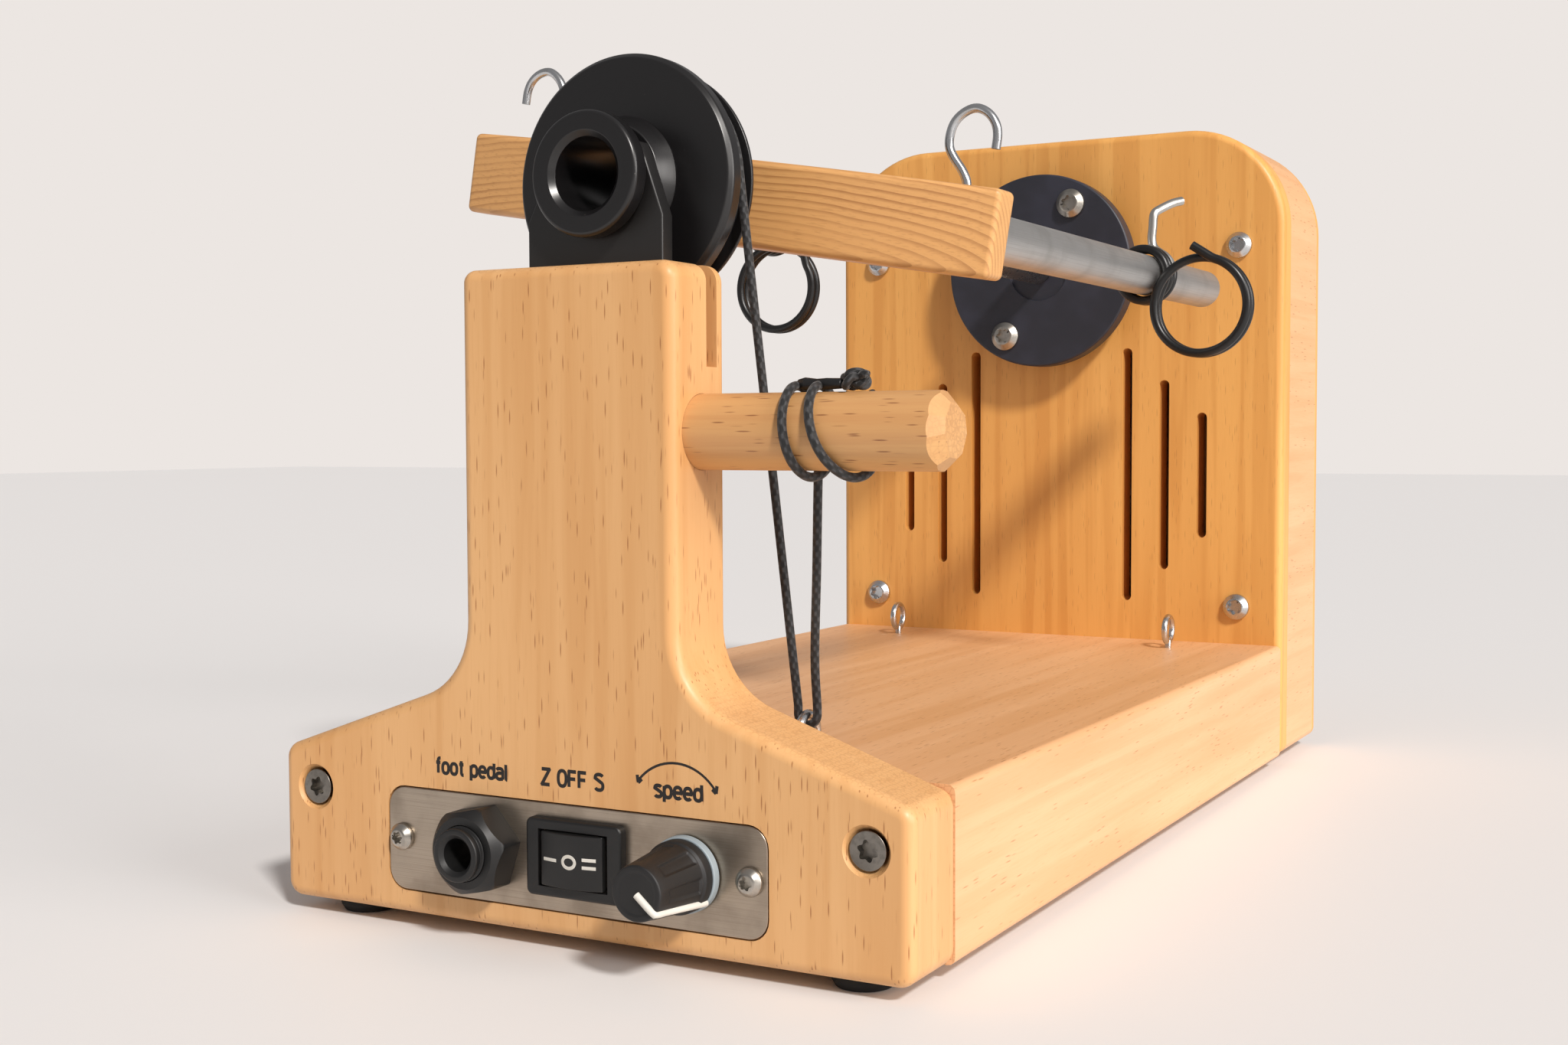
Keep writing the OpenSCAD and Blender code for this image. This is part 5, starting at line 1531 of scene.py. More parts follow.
def arc(
    cx: float, cy: float, rx: float, ry: float, a0: float, a1: float, n: int = 14
) -> list[Point2]:
    """Gives an arc of an ellipse, squared a little as in a technical letter.

    Args:
        cx: Its centre across.
        cy: Its centre upwards.
        rx: Its half width.
        ry: Its half height.
        a0: Its first angle in degrees.
        a1: Its last angle.
        n: The number of steps.

    Returns:
        The arc's points.
    """
    found = []
    for i in range(n + 1):
        c, s = (math.copysign(abs(v) ** 0.82, v) for v in polar(1, a0 + (a1 - a0) * i / n))
        found.append((cx + rx * c, cy + ry * s))
    return found


@dataclass
class Lettering:
    """Plain single-stroke technical letters, for the marks by the controls."""

    cap: float = 2.9
    low: float = 2.05
    width: float = 1.5
    gap: float = 0.62
    space: float = 1.25

    def strokes(self, letter: str) -> tuple[list[list[Point2]], float]:
        """Gives a letter's strokes and how far the next letter stands.

        Args:
            letter: One of the letters that the labels use.

        Returns:
            The strokes, each a list of points, and the advance.
        """
        c, x, w = self.cap, self.low, self.width
        m, wide = w / 2, w * 1.12
        half, bar = wide / 2, [(0.0, x), (1.05, x)]
        bowl = arc(m, x / 2, m, x / 2, 0, 360, 28)
        table: dict[str, tuple[list[list[Point2]], float]] = {
            "f": ([[(0.5, 0), (0.5, c - 0.5)] + arc(1.0, c - 0.5, 0.5, 0.5, 180, 80, 6), bar], 1.0),
            "t": ([[(0.5, c * 0.94), (0.5, 0.45)] + arc(0.95, 0.45, 0.45, 0.45, 180, 280, 6),
                   bar], 1.05),
            "o": ([bowl], w),
            "p": ([bowl, [(0, x), (0, -0.85)]], w),
            "d": ([bowl, [(w, c), (w, 0)]], w),
            "l": ([[(0.15, c), (0.15, 0.4)] + arc(0.5, 0.4, 0.35, 0.4, 180, 270, 5)], 0.5),
            "e": ([[(0.0, x / 2), (w, x / 2)] + arc(m, x / 2, m, x / 2, 10, 318, 24)], w),
            "a": ([arc(m, x - 0.5, m, 0.5, 160, 0, 10) + [(w, x - 0.5), (w, 0)],
                   [(w, x * 0.58), (m, x * 0.58)] + arc(m, x * 0.29, m, x * 0.29, 90, 270, 12)
                   + [(w, 0.12)]], w),
            "s": ([arc(m, x * 0.76, m * 0.92, x * 0.24, 25, 180, 8)
                   + arc(m, x * 0.25, m * 0.92, x * 0.25, 60, -155, 12)], w * 0.95),
            "Z": ([[(0, c), (wide, c), (0, 0), (wide, 0)]], wide),
            "O": ([arc(half, c / 2, half, c / 2, 0, 360, 32)], wide),
            "F": ([[(wide * 0.9, c), (0, c), (0, 0)], [(0, c * 0.52), (wide * 0.8, c * 0.52)]],
                  wide * 0.9),
            "S": ([arc(half, c * 0.76, wide * 0.48, c * 0.24, 25, 180, 9)
                   + arc(half, c * 0.26, wide * 0.48, c * 0.26, 60, -155, 14)], wide),
        }
        return table[letter]

    @staticmethod
    def parts(stroke: Sequence[Point2], reach: float = 0.2) -> list[list[Point2]]:
        """Splits a stroke at its sharp corners, with both parts reaching past the corner.

        Args:
            stroke: The stroke's points.
            reach: How far the parts reach past.

        Returns:
            Each part's points.
        """
        found: list[list[Point2]] = [[stroke[0]]]
        for before, at, after in zip(stroke, stroke[1:], stroke[2:]):
            found[-1].append(at)
            u = (Vector(at) - Vector(before)).normalized()
            v = (Vector(after) - Vector(at)).normalized()
            if u.dot(v) < 0.7:
                found[-1][-1] = tuple(Vector(at) + u * reach)
                found.append([tuple(Vector(at) - v * reach)])
        found[-1].append(stroke[-1])
        return found

    def line(self, words: str, left: float, right: float, base: float) -> list[list[Point2]]:
        """Sets words on a line, from one end to the other.

        Args:
            words: The label.
            left: Where it starts.
            right: Where it ends.
            base: The height of its baseline.

        Returns:
            Every stroke's points.
        """
        found: list[list[Point2]] = []
        at = 0.0
        for letter in words:
            if letter == " ":
                at += self.space
                continue
            strokes, advance = self.strokes(letter)
            parts = [part for stroke in strokes for part in self.parts(stroke)]
            found += [[(at + u, v) for u, v in part] for part in parts]
            at += advance + self.gap
        scale = (right - left) / (at - self.gap)
        return [[(left + u * scale, base + v) for u, v in stroke] for stroke in found]


@dataclass
class Controls(Section):
    """The steel plate with the pedal's jack, the rocker switch, the speed knob and labels."""

    letters: Lettering = field(default_factory=Lettering)
    plate_half_w: float = 43.0
    plate_half_h: float = 10.5
    plate_top_less: float = 0.6
    screw_x: float = 39.5
    jack_x: float = -19.5
    nut_r: float = 8.95
    nut_turn: float = 12.0
    switch_x: float = 2.5
    bezel_half_w: float = 10.68
    bezel_half_h: float = 7.38
    rocker_r: float = 26.0
    rocker_out: float = 3.2
    knob_x: float = 26.3
    knob_len: float = 14.8
    knob_top_r: float = 5.0
    knob_foot_r: float = 6.7
    pointer_angle: float = -40.0
    label_z: float = 31.9
    arrow_x: float = 24.0
    arrow_z: float = 27.6
    arrow_r: float = 10.7

    def plate(self) -> None:
        """Builds the plate and its two screws."""
        z, w, h, y = LAYOUT.control_z, self.plate_half_w, self.plate_half_h, LAYOUT.front_y
        outline = rectangle(-w, z - h, w, z + h - self.plate_top_less, 4)
        plate = slab("control_plate_steel", outline, y, y + 1.5, 0.25, 0.0)
        self.shop.finish(plate, Palette.plate, Body.STAND, "control_plate")
        seats = [(x, y, z) for x in (-self.screw_x, self.screw_x)]
        head = ScrewHead(2.7, 1.9, 1.15)
        self.shop.screw("control_plate_screws", seats, head, Palette.nickel, 21)

    def jack(self) -> None:
        """Builds the jack's body, its threaded bush and its nut with turned corners."""
        z, front, centre = LAYOUT.control_z, LAYOUT.front_y, (self.jack_x, LAYOUT.control_z)
        bush = [
            (3.2, front - 8.2, 0), (4.0, front - 9, 0.25), (5.1, front - 9, 0.35),
            (5.1, front - 7.8, 0.2), (4.75, front - 7.6, 0.1), (4.75, front - 7.2, 0.1),
            (5.3, front - 7.0, 0.1), (5.3, front + 2, 0), (3.2, front + 2, 0),
        ]
        tunnel = [
            (3.2, front + 2, 0), (5.3, front + 2, 0), (5.3, front + 20, 0), (0, front + 20, 0),
            (0, front + 18, 0), (3.2, front + 18, 0),
        ]
        case = self.shop.copy("jack_body", 0.25, "case")
        with edited(case.data) as build:
            gone = [v for v in build.verts if v.co.y / MM < front + 1.4]
            bmesh.ops.delete(build, geom=gone, context="VERTS")
        jack = join(
            "pedal_jack", lathe("bush", bush, centre, n=3, turns=64),
            lathe("tunnel", tunnel, centre, turns=48), case,
        )
        self.shop.finish(jack, Palette.moulded, Body.STAND, "jack_body")
        hexagon = [polar(self.nut_r, 60 * k + self.nut_turn, centre) for k in range(6)]
        nut = slab("pedal_jack_nut", hexagon, front - 6.8, front, 0.25, 0.0)
        turned = [
            (0, front - 7.2, 0), (6.5, front - 7.2, 0), (8.65, front - 5, 1.2),
            (8.8, front + 1, 0), (0, front + 1, 0),
        ]
        cut(nut, lathe("cutter", turned, centre, closed=False), way="INTERSECT")
        cut(nut, rod(Axis.Y, self.jack_x, z, front - 8, front + 1, 5.45))
        self.shop.finish(nut, Palette.moulded, Body.STAND, "jack_nut")

    def rocker_face(self, x: float) -> float:
        """Gives the rocker's front at a place across the stand."""
        sag = math.sqrt(self.rocker_r**2 - (x - self.switch_x) ** 2)
        return LAYOUT.front_y - self.rocker_out + self.rocker_r - sag

    def switch(self) -> None:
        """Dresses the bezel and the rocker, and paints the rocker's three marks."""
        x, z, w, h = self.switch_x, LAYOUT.control_z, self.bezel_half_w, self.bezel_half_h
        bezel = self.shop.copy("switch_housing", 0.3, "switch_bezel")
        outline = rectangle(x - w, z - h, x + w, z + h, 1.3)
        frame = slab("cutter", outline, LAYOUT.front_y - 2, LAYOUT.front_y + 40, 0.6, 0.0)
        cut(bezel, frame, way="INTERSECT")
        self.shop.finish(bezel, Palette.moulded, Body.STAND, "switch_housing")
        self.shop.recut("switch_rocker", 0.8, "switch_rocker_cap", Palette.moulded, Body.ROCKER)
        marks = [
            [(-6.1 + i * 0.4, 0.0) for i in range(9)],
            [(1.35 * math.cos(t / 5), 1.1 * math.sin(t / 5)) for t in range(33)],
            [(2.9 + i * 0.4, 0.73) for i in range(8)],
            [(2.9 + i * 0.4, -0.73) for i in range(8)],
        ]
        strokes = [[(x + u, z + v) for u, v in mark] for mark in marks]
        self.shop.ink(
            "rocker_marks", strokes, 0.33, Palette.white_ink, Body.ROCKER, "knob_collar",
            self.rocker_face, 0.12, 10,
        )

    def knob(self) -> None:
        """Builds the knob with its grips, its pointer and its pale collar."""
        foot = LAYOUT.front_y - 2.0
        face, centre = foot - self.knob_len, (self.knob_x, LAYOUT.control_z)
        top, low = self.knob_top_r, self.knob_foot_r

        def grips(r: float, t: float, a: float) -> float:
            """Sinks seven finger grips between the face and the skirt.

            Args:
                r: The radius without grips.
                t: The place along the axis.
                a: The angle.

            Returns:
                The radius with them.
            """
            depth = 0.45 * max(0.0, min(1.0, t - face - 2.4, (foot - 2.85 - t) / 0.3))
            wave = 0.5 + 0.5 * math.tanh(7 * (math.cos(7 * a + 0.6) - 0.05))
            return r - depth * wave

        # Rings down the side, for the grips to begin and end between
        sides = [
            (top + (low - 0.5 - top) * u / (self.knob_len - 2.9), face + u, 0.0)
            for u in (2.3, 2.6, 2.9, 3.2, 3.5, 6.0, 8.5, 11.5, 11.8, 11.9)
        ]
        profile = [
            (0, face + 0.15, 0), (top - 1.4, face + 0.12, 0.2), (top - 0.9, face, 0.2),
            (top, face, 0.45), *sides, (low - 0.45, foot - 2.6, 0.1),
            (low, foot - 2.2, 0.3), (low, foot, 0.15), (0, foot, 0),
        ]
        knob = lathe("speed_knob_grip", profile, centre, closed=False, turns=168, shape=grips)
        self.shop.finish(knob, Palette.soft_black, Body.KNOB, "speed_knob", sharp=38)
        run = [(0.2, face - 0.02), (top - 0.55, face - 0.02), (top + 0.02, face + 0.55)]
        for t in (0.2, 0.4, 0.6, 0.8, 1.0):
            run.append((top + (low - top) * t, face + 0.55 + (self.knob_len - 0.6) * t))
        path = []
        for r, t in run:
            x, z = polar(r, self.pointer_angle, centre)
            path.append((x, t, z))
        ink = Palette.white_ink
        pointer = self.shop.wires.wire("knob_pointer", [flow(path, 0.4)], 0.66, ink, 14)
        self.shop.finish(pointer, ink, Body.KNOB, slot_of="knob_collar")
        back = foot + 1.7
        ring = [(5.6, foot, 0.1), (7.0, foot, 0.25), (7.1, back, 0.25), (5.6, back, 0.1)]
        collar = lathe("knob_collar_ring", ring, centre, turns=80)
        self.shop.finish(collar, Palette.pale_grey, Body.KNOB, "knob_collar")

    def labels(self) -> None:
        """Prints the labels and the double arrow on the board."""
        lines = []
        for words, left, right in (
            ("foot pedal", -31.0, -13.8), ("Z OFF S", -5.7, 8.2), ("speed", 19.5, 29.5)
        ):
            lines += self.letters.line(words, left, right, self.label_z)
        sweep = []
        for u, v in (polar(self.arrow_r, a) for a in range(38, 143, 5)):
            sweep.append((self.arrow_x + u * 0.98, self.arrow_z + v))
        # The arrow's two heads
        for (u, v), way in ((sweep[0], 1), (sweep[-1], -1)):
            tip = (u + 0.25 * way, v - 0.65)
            lines += [[(u - 0.55 * way, v + 0.05), tip], [(u + 0.45 * way, v + 0.75), tip]]
        for name, strokes, r in (("control_labels", lines, 0.35), ("speed_arrow", [sweep], 0.24)):
            self.shop.ink(
                name, strokes, r, Palette.black_ink, Body.STAND, "jack_body",
                lambda x: LAYOUT.front_y - 0.005, 0.1, 8,
            )

    def build(self) -> None:
        """Builds every control."""
        self.plate()
        self.jack()
        self.switch()
        self.knob()
        self.labels()
        self.shop.dress(Palette.ground, "pot_shaft", "speed_pot")
        self.shop.dress(Palette.nickel, "pot_nut")


@dataclass
class Flyer(Section):
    """The orifice tube, its pulley, the bar with its hooks, the arms and the shaft."""

    orifice_r: float = 7.0
    flange_front: float = -134.8
    flange_back: float = -130.8
    hub_front: float = -125.5
    pulley_y: float = -121.5
    pulley_back: float = -110.5
    pulley_r: float = 23.2
    pulley_rim: float = 1.4
    bar_front: float = -96.5
    bar_back: float = -80.5
    bar_half: float = 65.0
    bar_short_left: float = 1.5
    bar_half_h: float = 8.75
    bar_bow: float = 7.5
    arm_end: float = 81.4
    arm_start: float = -86.5

    def orifice(self) -> None:
        """Turns the tube with its flange, neck and hub, and drills the yarn's way out."""
        r, front, back = self.orifice_r, self.flange_front, self.flange_back
        profile = [
            (0, -97.9, 0), (r, -97.9, 0), (r, front + 1.1, 0.15), (r + 1.1, front, 0.25),
            (11.9, front, 0.9), (11.9, back, 0.7), (8.4, back, 0.1), (8.4, self.hub_front, 0.1),
            (10.6, self.hub_front, 0.4), (12.6, self.pulley_y, 0.2), (9.5, self.pulley_y, 0),
            (9.5, self.bar_front, 0), (0, self.bar_front, 0),
        ]
        tube = lathe("orifice_tube_turned", profile, closed=False, n=5)
        cut(tube, rod(Axis.Z, 0, (self.pulley_back + self.bar_front) / 2, -14, 14, 5.6))
        self.shop.finish(LAYOUT.on_flyer(tube), Palette.turned, Body.FLYER, "orifice_tube")

    def pulley(self) -> None:
        """Turns the pulley with its cord's groove."""
        y, r, g = self.pulley_y, self.pulley_r, LAYOUT.groove_r
        front = r + self.pulley_rim
        profile = [
            (9.5, y, 0), (front - 0.9, y, 0.6), (front, y + 1.0, 0.8), (front, y + 3.6, 0.5),
            (r, y + 4.3, 0.2), (g, y + 4.9, 0.3), (g, y + 9.7, 0.3), (r, y + 10.1, 0.3),
            (r, y + 11, 0.35), (9.5, y + 11, 0),
        ]
        pulley = lathe("flyer_pulley_turned", profile, turns=144)
        self.shop.finish(LAYOUT.on_flyer(pulley), Palette.turned, Body.FLYER, "flyer_pulley")

    def bar(self) -> None:
        """Builds the bowed bar with its eased edges."""
        half, bow, back = self.bar_half, self.bar_bow, self.bar_back
        bow_r = (half**2 + bow**2) / (2 * bow)
        span = math.asin(half / bow_r)
        left = self.bar_short_left - half
        corners: list[Corner] = [(left, self.bar_front + bow - 0.2, 2.5)]
        for a in (span * (i / 12 - 1) for i in range(2, 24)):
            corners.append((bow_r * math.sin(a), self.bar_front + bow_r * (1 - math.cos(a)), 0))
        corners += [(half, self.bar_front + bow, 1.4), (half, back, 2.2), (left, back, 2.2)]
        outline, h = rounded(corners, 5), self.bar_half_h
        bar = slab("flyer_bar_wood", outline, -h, h, 1.3, 1.3, Axis.Z, steps=6)
        self.shop.finish(LAYOUT.on_flyer(bar), Palette.bar, Body.FLYER, "flyer_bar")

    def arms(self) -> None:
        """Turns the two tube arms and the shaft."""
        start, end = self.arm_start, self.arm_end
        for x, name in ((LAYOUT.arm_x, "flyer_arm_right"), (-LAYOUT.arm_x, "flyer_arm_left")):
            profile = [(4, start, 0), (5, start, 0), (5, end, 0.3), (4, end, 0.3)]
            arm = lathe(name + "_tube", profile, (x, 0), turns=64)
            self.shop.finish(LAYOUT.on_flyer(arm), Palette.arm, Body.FLYER, name)
        self.shop.recut("flyer_shaft", 0.25, "flyer_shaft_ground", Palette.ground, Body.FLYER)

    def hooks(self) -> None:
        """Bends the two cup hooks."""
        shape = [
            (0, -2.6), (0, -1.5), (-0.1, 0.6), (-1.4, 2.8), (-3.4, 4.9), (-4.9, 7), (-5.2, 9.4),
            (-4.6, 12), (-2.9, 14), (-0.5, 15.1), (2.1, 14.4), (4, 12.6), (4.8, 10.4), (4.9, 7.6),
        ]
        y, z = self.bar_back - 5, self.bar_half_h
        paths = [
            flow([(x + side * u, y, z + v) for u, v in shape], 0.45, 2)
            for x, side in ((56.2, 1), (-48.0, -1))
        ]
        hooks = LAYOUT.on_flyer(self.shop.wires.wire("cup_hooks", paths, 0.9, Palette.zinc, 16))
        self.shop.finish(hooks, Palette.zinc, Body.FLYER, "flyer_hooks", sharp=50)

    def build(self) -> None:
        """Builds every piece of the flyer."""
        self.orifice()
        self.pulley()
        self.bar()
        self.arms()
        self.hooks()


@dataclass
class Guides(Section):
    """The two sliding guides, each bent from one spring wire."""

    wire_r: float = 1.1
    ring_r: float = 11.7
    coil_r: float = 6.4
    pitch: float = 2.8
    ring_turns: float = 1.78
    coil_turns: float = 2.26
    ring_steps: int = 68
    coil_steps: int = 56
    lever_h: float = 14.5
    lever_len: float = 8.0
    bare_and_highlight_len: float = 24.0
    guide_y: float = 26.9
    left_more: float = 8.0

    def path(self) -> list[Point3]:
        """Gives the wire's line: tail, yarn ring, coil round the arm, and thumb lever."""
        start = 180 + self.ring_turns * 360
        middle = (self.coil_r + self.ring_r, 0.0)
        rise = self.pitch * self.ring_turns
        end = polar(self.ring_r, start, middle)
        line: list[Point3] = []
        for d in (6, 3):
            x, z = polar(d, start + 74, end)
            line.append((x, -rise - 0.35 * d / 6, z))
        for share in (i / self.ring_steps for i in range(self.ring_steps + 1)):
            x, z = polar(self.ring_r, start - share * self.ring_turns * 360, middle)
            line.append((x, -rise * (1 - share), z))
        for share in (i / self.coil_steps for i in range(1, self.coil_steps + 1)):
            x, z = polar(self.coil_r, share * self.coil_turns * 360)
            line.append((x, self.pitch * self.coil_turns * share, z))
        c, y, h, far = self.coil_r, self.pitch * self.coil_turns, self.lever_h, self.lever_len
        line += [
            (-2.4, y + 0.3, c + 0.5), (-3.9, y + 0.4, c + 2.2), (-5, y + 0.5, h - 3.4),
            (-6.4, y + 0.8, h - 0.3), (-6.2, y + 2.2, h + 1.2), (-4.9, y + far * 0.7, h + 4),
            (-3.8, y + far, h + 5.4),
        ]
        return flow(line, 0.5, 1)

    def build(self) -> None:
        """Bends both guides and seats them on their arms."""
        line = self.path()
        length = sum((Vector(b) - Vector(a)).length for a, b in zip(line, line[1:]))
        # The thumb lever's last stretch is painted as bright bare steel, partly standing in for the
        # highlights along it
        finish = SpringWire("lacquered_spring_wire", bare_and_highlight_from=length - self.bare_and_highlight_len)
        for node, x, y, turn, body in (
            ("guide_right", LAYOUT.arm_x, self.guide_y, 18.5, Body.RIGHT_GUIDE),
            ("guide_left", -LAYOUT.arm_x, self.guide_y + self.left_more, 62.0, Body.LEFT_GUIDE),
        ):
            guide = self.shop.wires.wire(node + "_wire", [line], self.wire_r, finish, 16)
            guide.data.transform(Matrix.Rotation(math.radians(turn), 4, "Y"))
            guide.data.transform(Matrix.Translation((x * MM, y * MM, 0)))
            self.shop.finish(LAYOUT.on_flyer(guide), finish, body, node, sharp=50)


@dataclass
class Drive(Section):
    """The driven disc with its two screws, and the spindle and motor behind the panel."""

    disc_r: float = 28.75
    screw_r: float = 22.0
    screw_angle: float = 62.0

    def build(self) -> None:
        """Builds the disc and its screws, and dresses what turns inside the box."""
        y, r, middle = LAYOUT.disc_y, self.disc_r, (0, LAYOUT.axis_z)
        profile = [
            (3.55, y + 1, 0.1), (9, y + 1, 0.1), (9, y, 0.2), (r, y, 0.7), (r, y + 6, 0.5),
            (9, y + 6, 0.3), (9, y + 9, 0.2), (4, y + 9, 0), (4, y + 4.5, 0), (3.55, y + 4.5, 0),
        ]
        disc = lathe("drive_disc_turned", profile, middle, turns=144)
        self.shop.finish(disc, Palette.disc, Body.DRIVE, "drive_disc")
        seats = []
        for a in (self.screw_angle, self.screw_angle + 180):
            x, z = polar(self.screw_r, a, middle)
            seats.append((x, y, z))
        head = ScrewHead(4.3, 2.7)
        self.shop.screw("drive_disc_screws", seats, head, Palette.nickel, 13, Body.DRIVE)
        self.shop.dress(
            Palette.ground, "drive_spindle", "motor_shaft", "motor_body", "spindle_bearings"
        )
        self.shop.dress(
            Palette.arm, "driven_pulley", "motor_pulley", "motor_plate", "bearing_housing"
        )
        self.shop.dress(Palette.rubber, "drive_belt")
        self.shop.dress(Palette.nickel, "motor_plate_standoffs", "motor_screws")


@dataclass
class TensionPeg(Section):
    """The wooden peg, the dome that holds it, and the cord's end wound on it."""

    start_x: float = -16.0
    end_x: float = 74.5
    facets: int = 9
    dome_r: float = 5.4
    dome_h: float = 4.0
    run: Sequence[tuple[float, float]] = (
        (0, -5), (90, -4.7), (180, -3.3), (270, -1.5), (360, -0.7), (450, -0.3),
        (540, 2.1), (630, 7.4), (720, 8.2), (790, 7.6),
    )
    last_angle: float = 776.0
    turn_steps: int = 150

    def peg(self) -> None:
        """Turns the peg and cuts the facets round its end by hand."""
        y, z, r, end = LAYOUT.peg_y, LAYOUT.peg_z, LAYOUT.peg_r, self.end_x
        profile = [(0, self.start_x, 0), (r, self.start_x, 0), (r, end, 0.1), (0, end, 0)]
        peg = lathe("tension_peg_dowel", profile, (y, z), Axis.X, closed=False)
        with edited(peg.data) as build:
            for k in range(self.facets):
                # The sines make each facet lie a little otherwise, as by hand
                a = math.radians(360 * k / self.facets + 9 * math.sin(k * 2.3) + 14)
                lean = math.radians(44 + 3 * math.sin(k * 1.7))
                away = 2.55 + 0.25 * math.sin(k * 3.1)
                side = Vector((0, math.cos(a), math.sin(a)))
                on = Vector((end - away, y, z)) + side * r
                facing = side * math.cos(lean) + Vector((math.sin(lean), 0, 0))
                cut_off = bmesh.ops.bisect_plane(
                    build, geom=build.verts[:] + build.edges[:] + build.faces[:],
                    plane_co=on * MM, plane_no=facing, clear_outer=True,
                )
                rim = [e for e in cut_off["geom_cut"] if isinstance(e, bmesh.types.BMEdge)]
                bmesh.ops.contextual_create(build, geom=rim)
            bmesh.ops.recalc_face_normals(build, faces=build.faces)
        ease_edges(peg, 0.22, 15)
        self.shop.finish(peg, Palette.peg, Body.PEG, "tension_peg", sharp=40)

    def dome(self) -> None:
        """Turns the black dome on the post's left side."""
        x, line = -LAYOUT.post_half, [(0, -LAYOUT.post_half - self.dome_h, 0)]
        for a in (math.radians(degrees) for degrees in range(10, 86, 8)):
            line.append((self.dome_r * math.sin(a), x - self.dome_h * math.cos(a), 0))
        line += [(self.dome_r, x, 0.1), (2, x, 0), (2, x + 8, 0), (0, x + 8, 0)]
        at = (LAYOUT.peg_y, LAYOUT.peg_z)
        dome = lathe("peg_end_dome", line, at, Axis.X, closed=False, turns=64)
        self.shop.finish(dome, Palette.glossy, Body.PEG, "peg_end_screw")

    def along(self, a: float) -> float:
        """Gives how far the cord has moved along the peg at an angle round it.

        Args:
            a: The angle in degrees.

        Returns:
            The distance from the middle of the windings.
        """
        for (a0, x0), (a1, x1) in zip(self.run, self.run[1:]):
            if a <= a1:
                return x0 + (x1 - x0) * (a - a0) / (a1 - a0)
        return self.run[-1][1]

    def turns(self) -> None:
        """Winds the cord's turns on the peg."""
        centre, r = (LAYOUT.peg_y, LAYOUT.peg_z), LAYOUT.peg_r + LAYOUT.cord_gap + LAYOUT.cord_r
        line = []
        for a in (self.last_angle * i / self.turn_steps for i in range(self.turn_steps + 1)):
            # The mean of near values rounds the table's corners
            x = sum(self.along(max(0.0, a + d)) for d in (-30, -15, 0, 15, 30)) / 5
            line.append((LAYOUT.cord_x + x, *polar(r, a, centre)))
        self.shop.wire(
            "peg_cord_windings", [line], LAYOUT.cord_r, Palette.cord, Body.PEG, "peg_cord_turns"
        )

    def sleeve(self) -> None:
        """Turns the wrinkled sleeve that holds the cord's end."""
        x, top = LAYOUT.cord_x, LAYOUT.peg_z + LAYOUT.peg_r + LAYOUT.cord_gap
        profile = [
            (0, x - 4.4, 0), (0.9, x - 4.4, 0.3), (1.1, x - 3.0, 0.5), (0.95, x - 0.6, 0.5),
            (1.1, x + 1.4, 0.5), (0.95, x + 4.4, 0.3), (0, x + 4.4, 0),
        ]
        wrinkled = lathe(
            "cord_sleeve_shrunk", profile, (LAYOUT.peg_y, top + 1.1), Axis.X, closed=False,
            turns=32,
            shape=lambda q, t, a: q * (1 + 0.06 * math.sin(2.1 * t) + 0.04 * math.cos(3 * a + t)),
        )
        self.shop.finish(wrinkled, Palette.sleeve, Body.PEG, "peg_cord_sleeve", sharp=60)

    def knot(self) -> None:
        """Ties the knot from a trefoil, a second loop and a short tail."""
        x, y, z = LAYOUT.cord_x + 6.6, LAYOUT.peg_y, LAYOUT.peg_z + LAYOUT.peg_r + LAYOUT.cord_gap
        trefoil, loop = [], []
        for t in (2 * math.pi * i / 72 for i in range(73)):
            u = 0.95 * (math.sin(t) + 1.6 * math.sin(2 * t))
            v = 0.9 * (math.cos(t) - 1.6 * math.cos(2 * t))
            trefoil.append((x + u, y + v, z + 1.4 - 0.85 * math.sin(3 * t)))
        for t in (2 * math.pi * i / 40 for i in range(41)):
            u, v = 0.5 + 1.7 * math.cos(t), 0.5 * math.sin(2 * t)
            loop.append((x + u, y + v, z + 1.9 + 1.25 * math.sin(t)))
        tail = [
            (x + 1.2, y - 0.4, z + 1.9), (x + 2.4, y - 1.0, z + 2.7), (x + 3.3, y - 1.2, z + 2.5)
        ]
        self.shop.wire(
            "cord_knot_tied", [trefoil, loop, flow(tail, 0.3)], 0.72, Palette.cord, Body.PEG,
            "peg_cord_knot", 14,
        )

    def build(self) -> None:
        """Builds the peg and all that is on it."""
        self.peg()
        self.dome()
        self.turns()
        self.sleeve()
        self.knot()


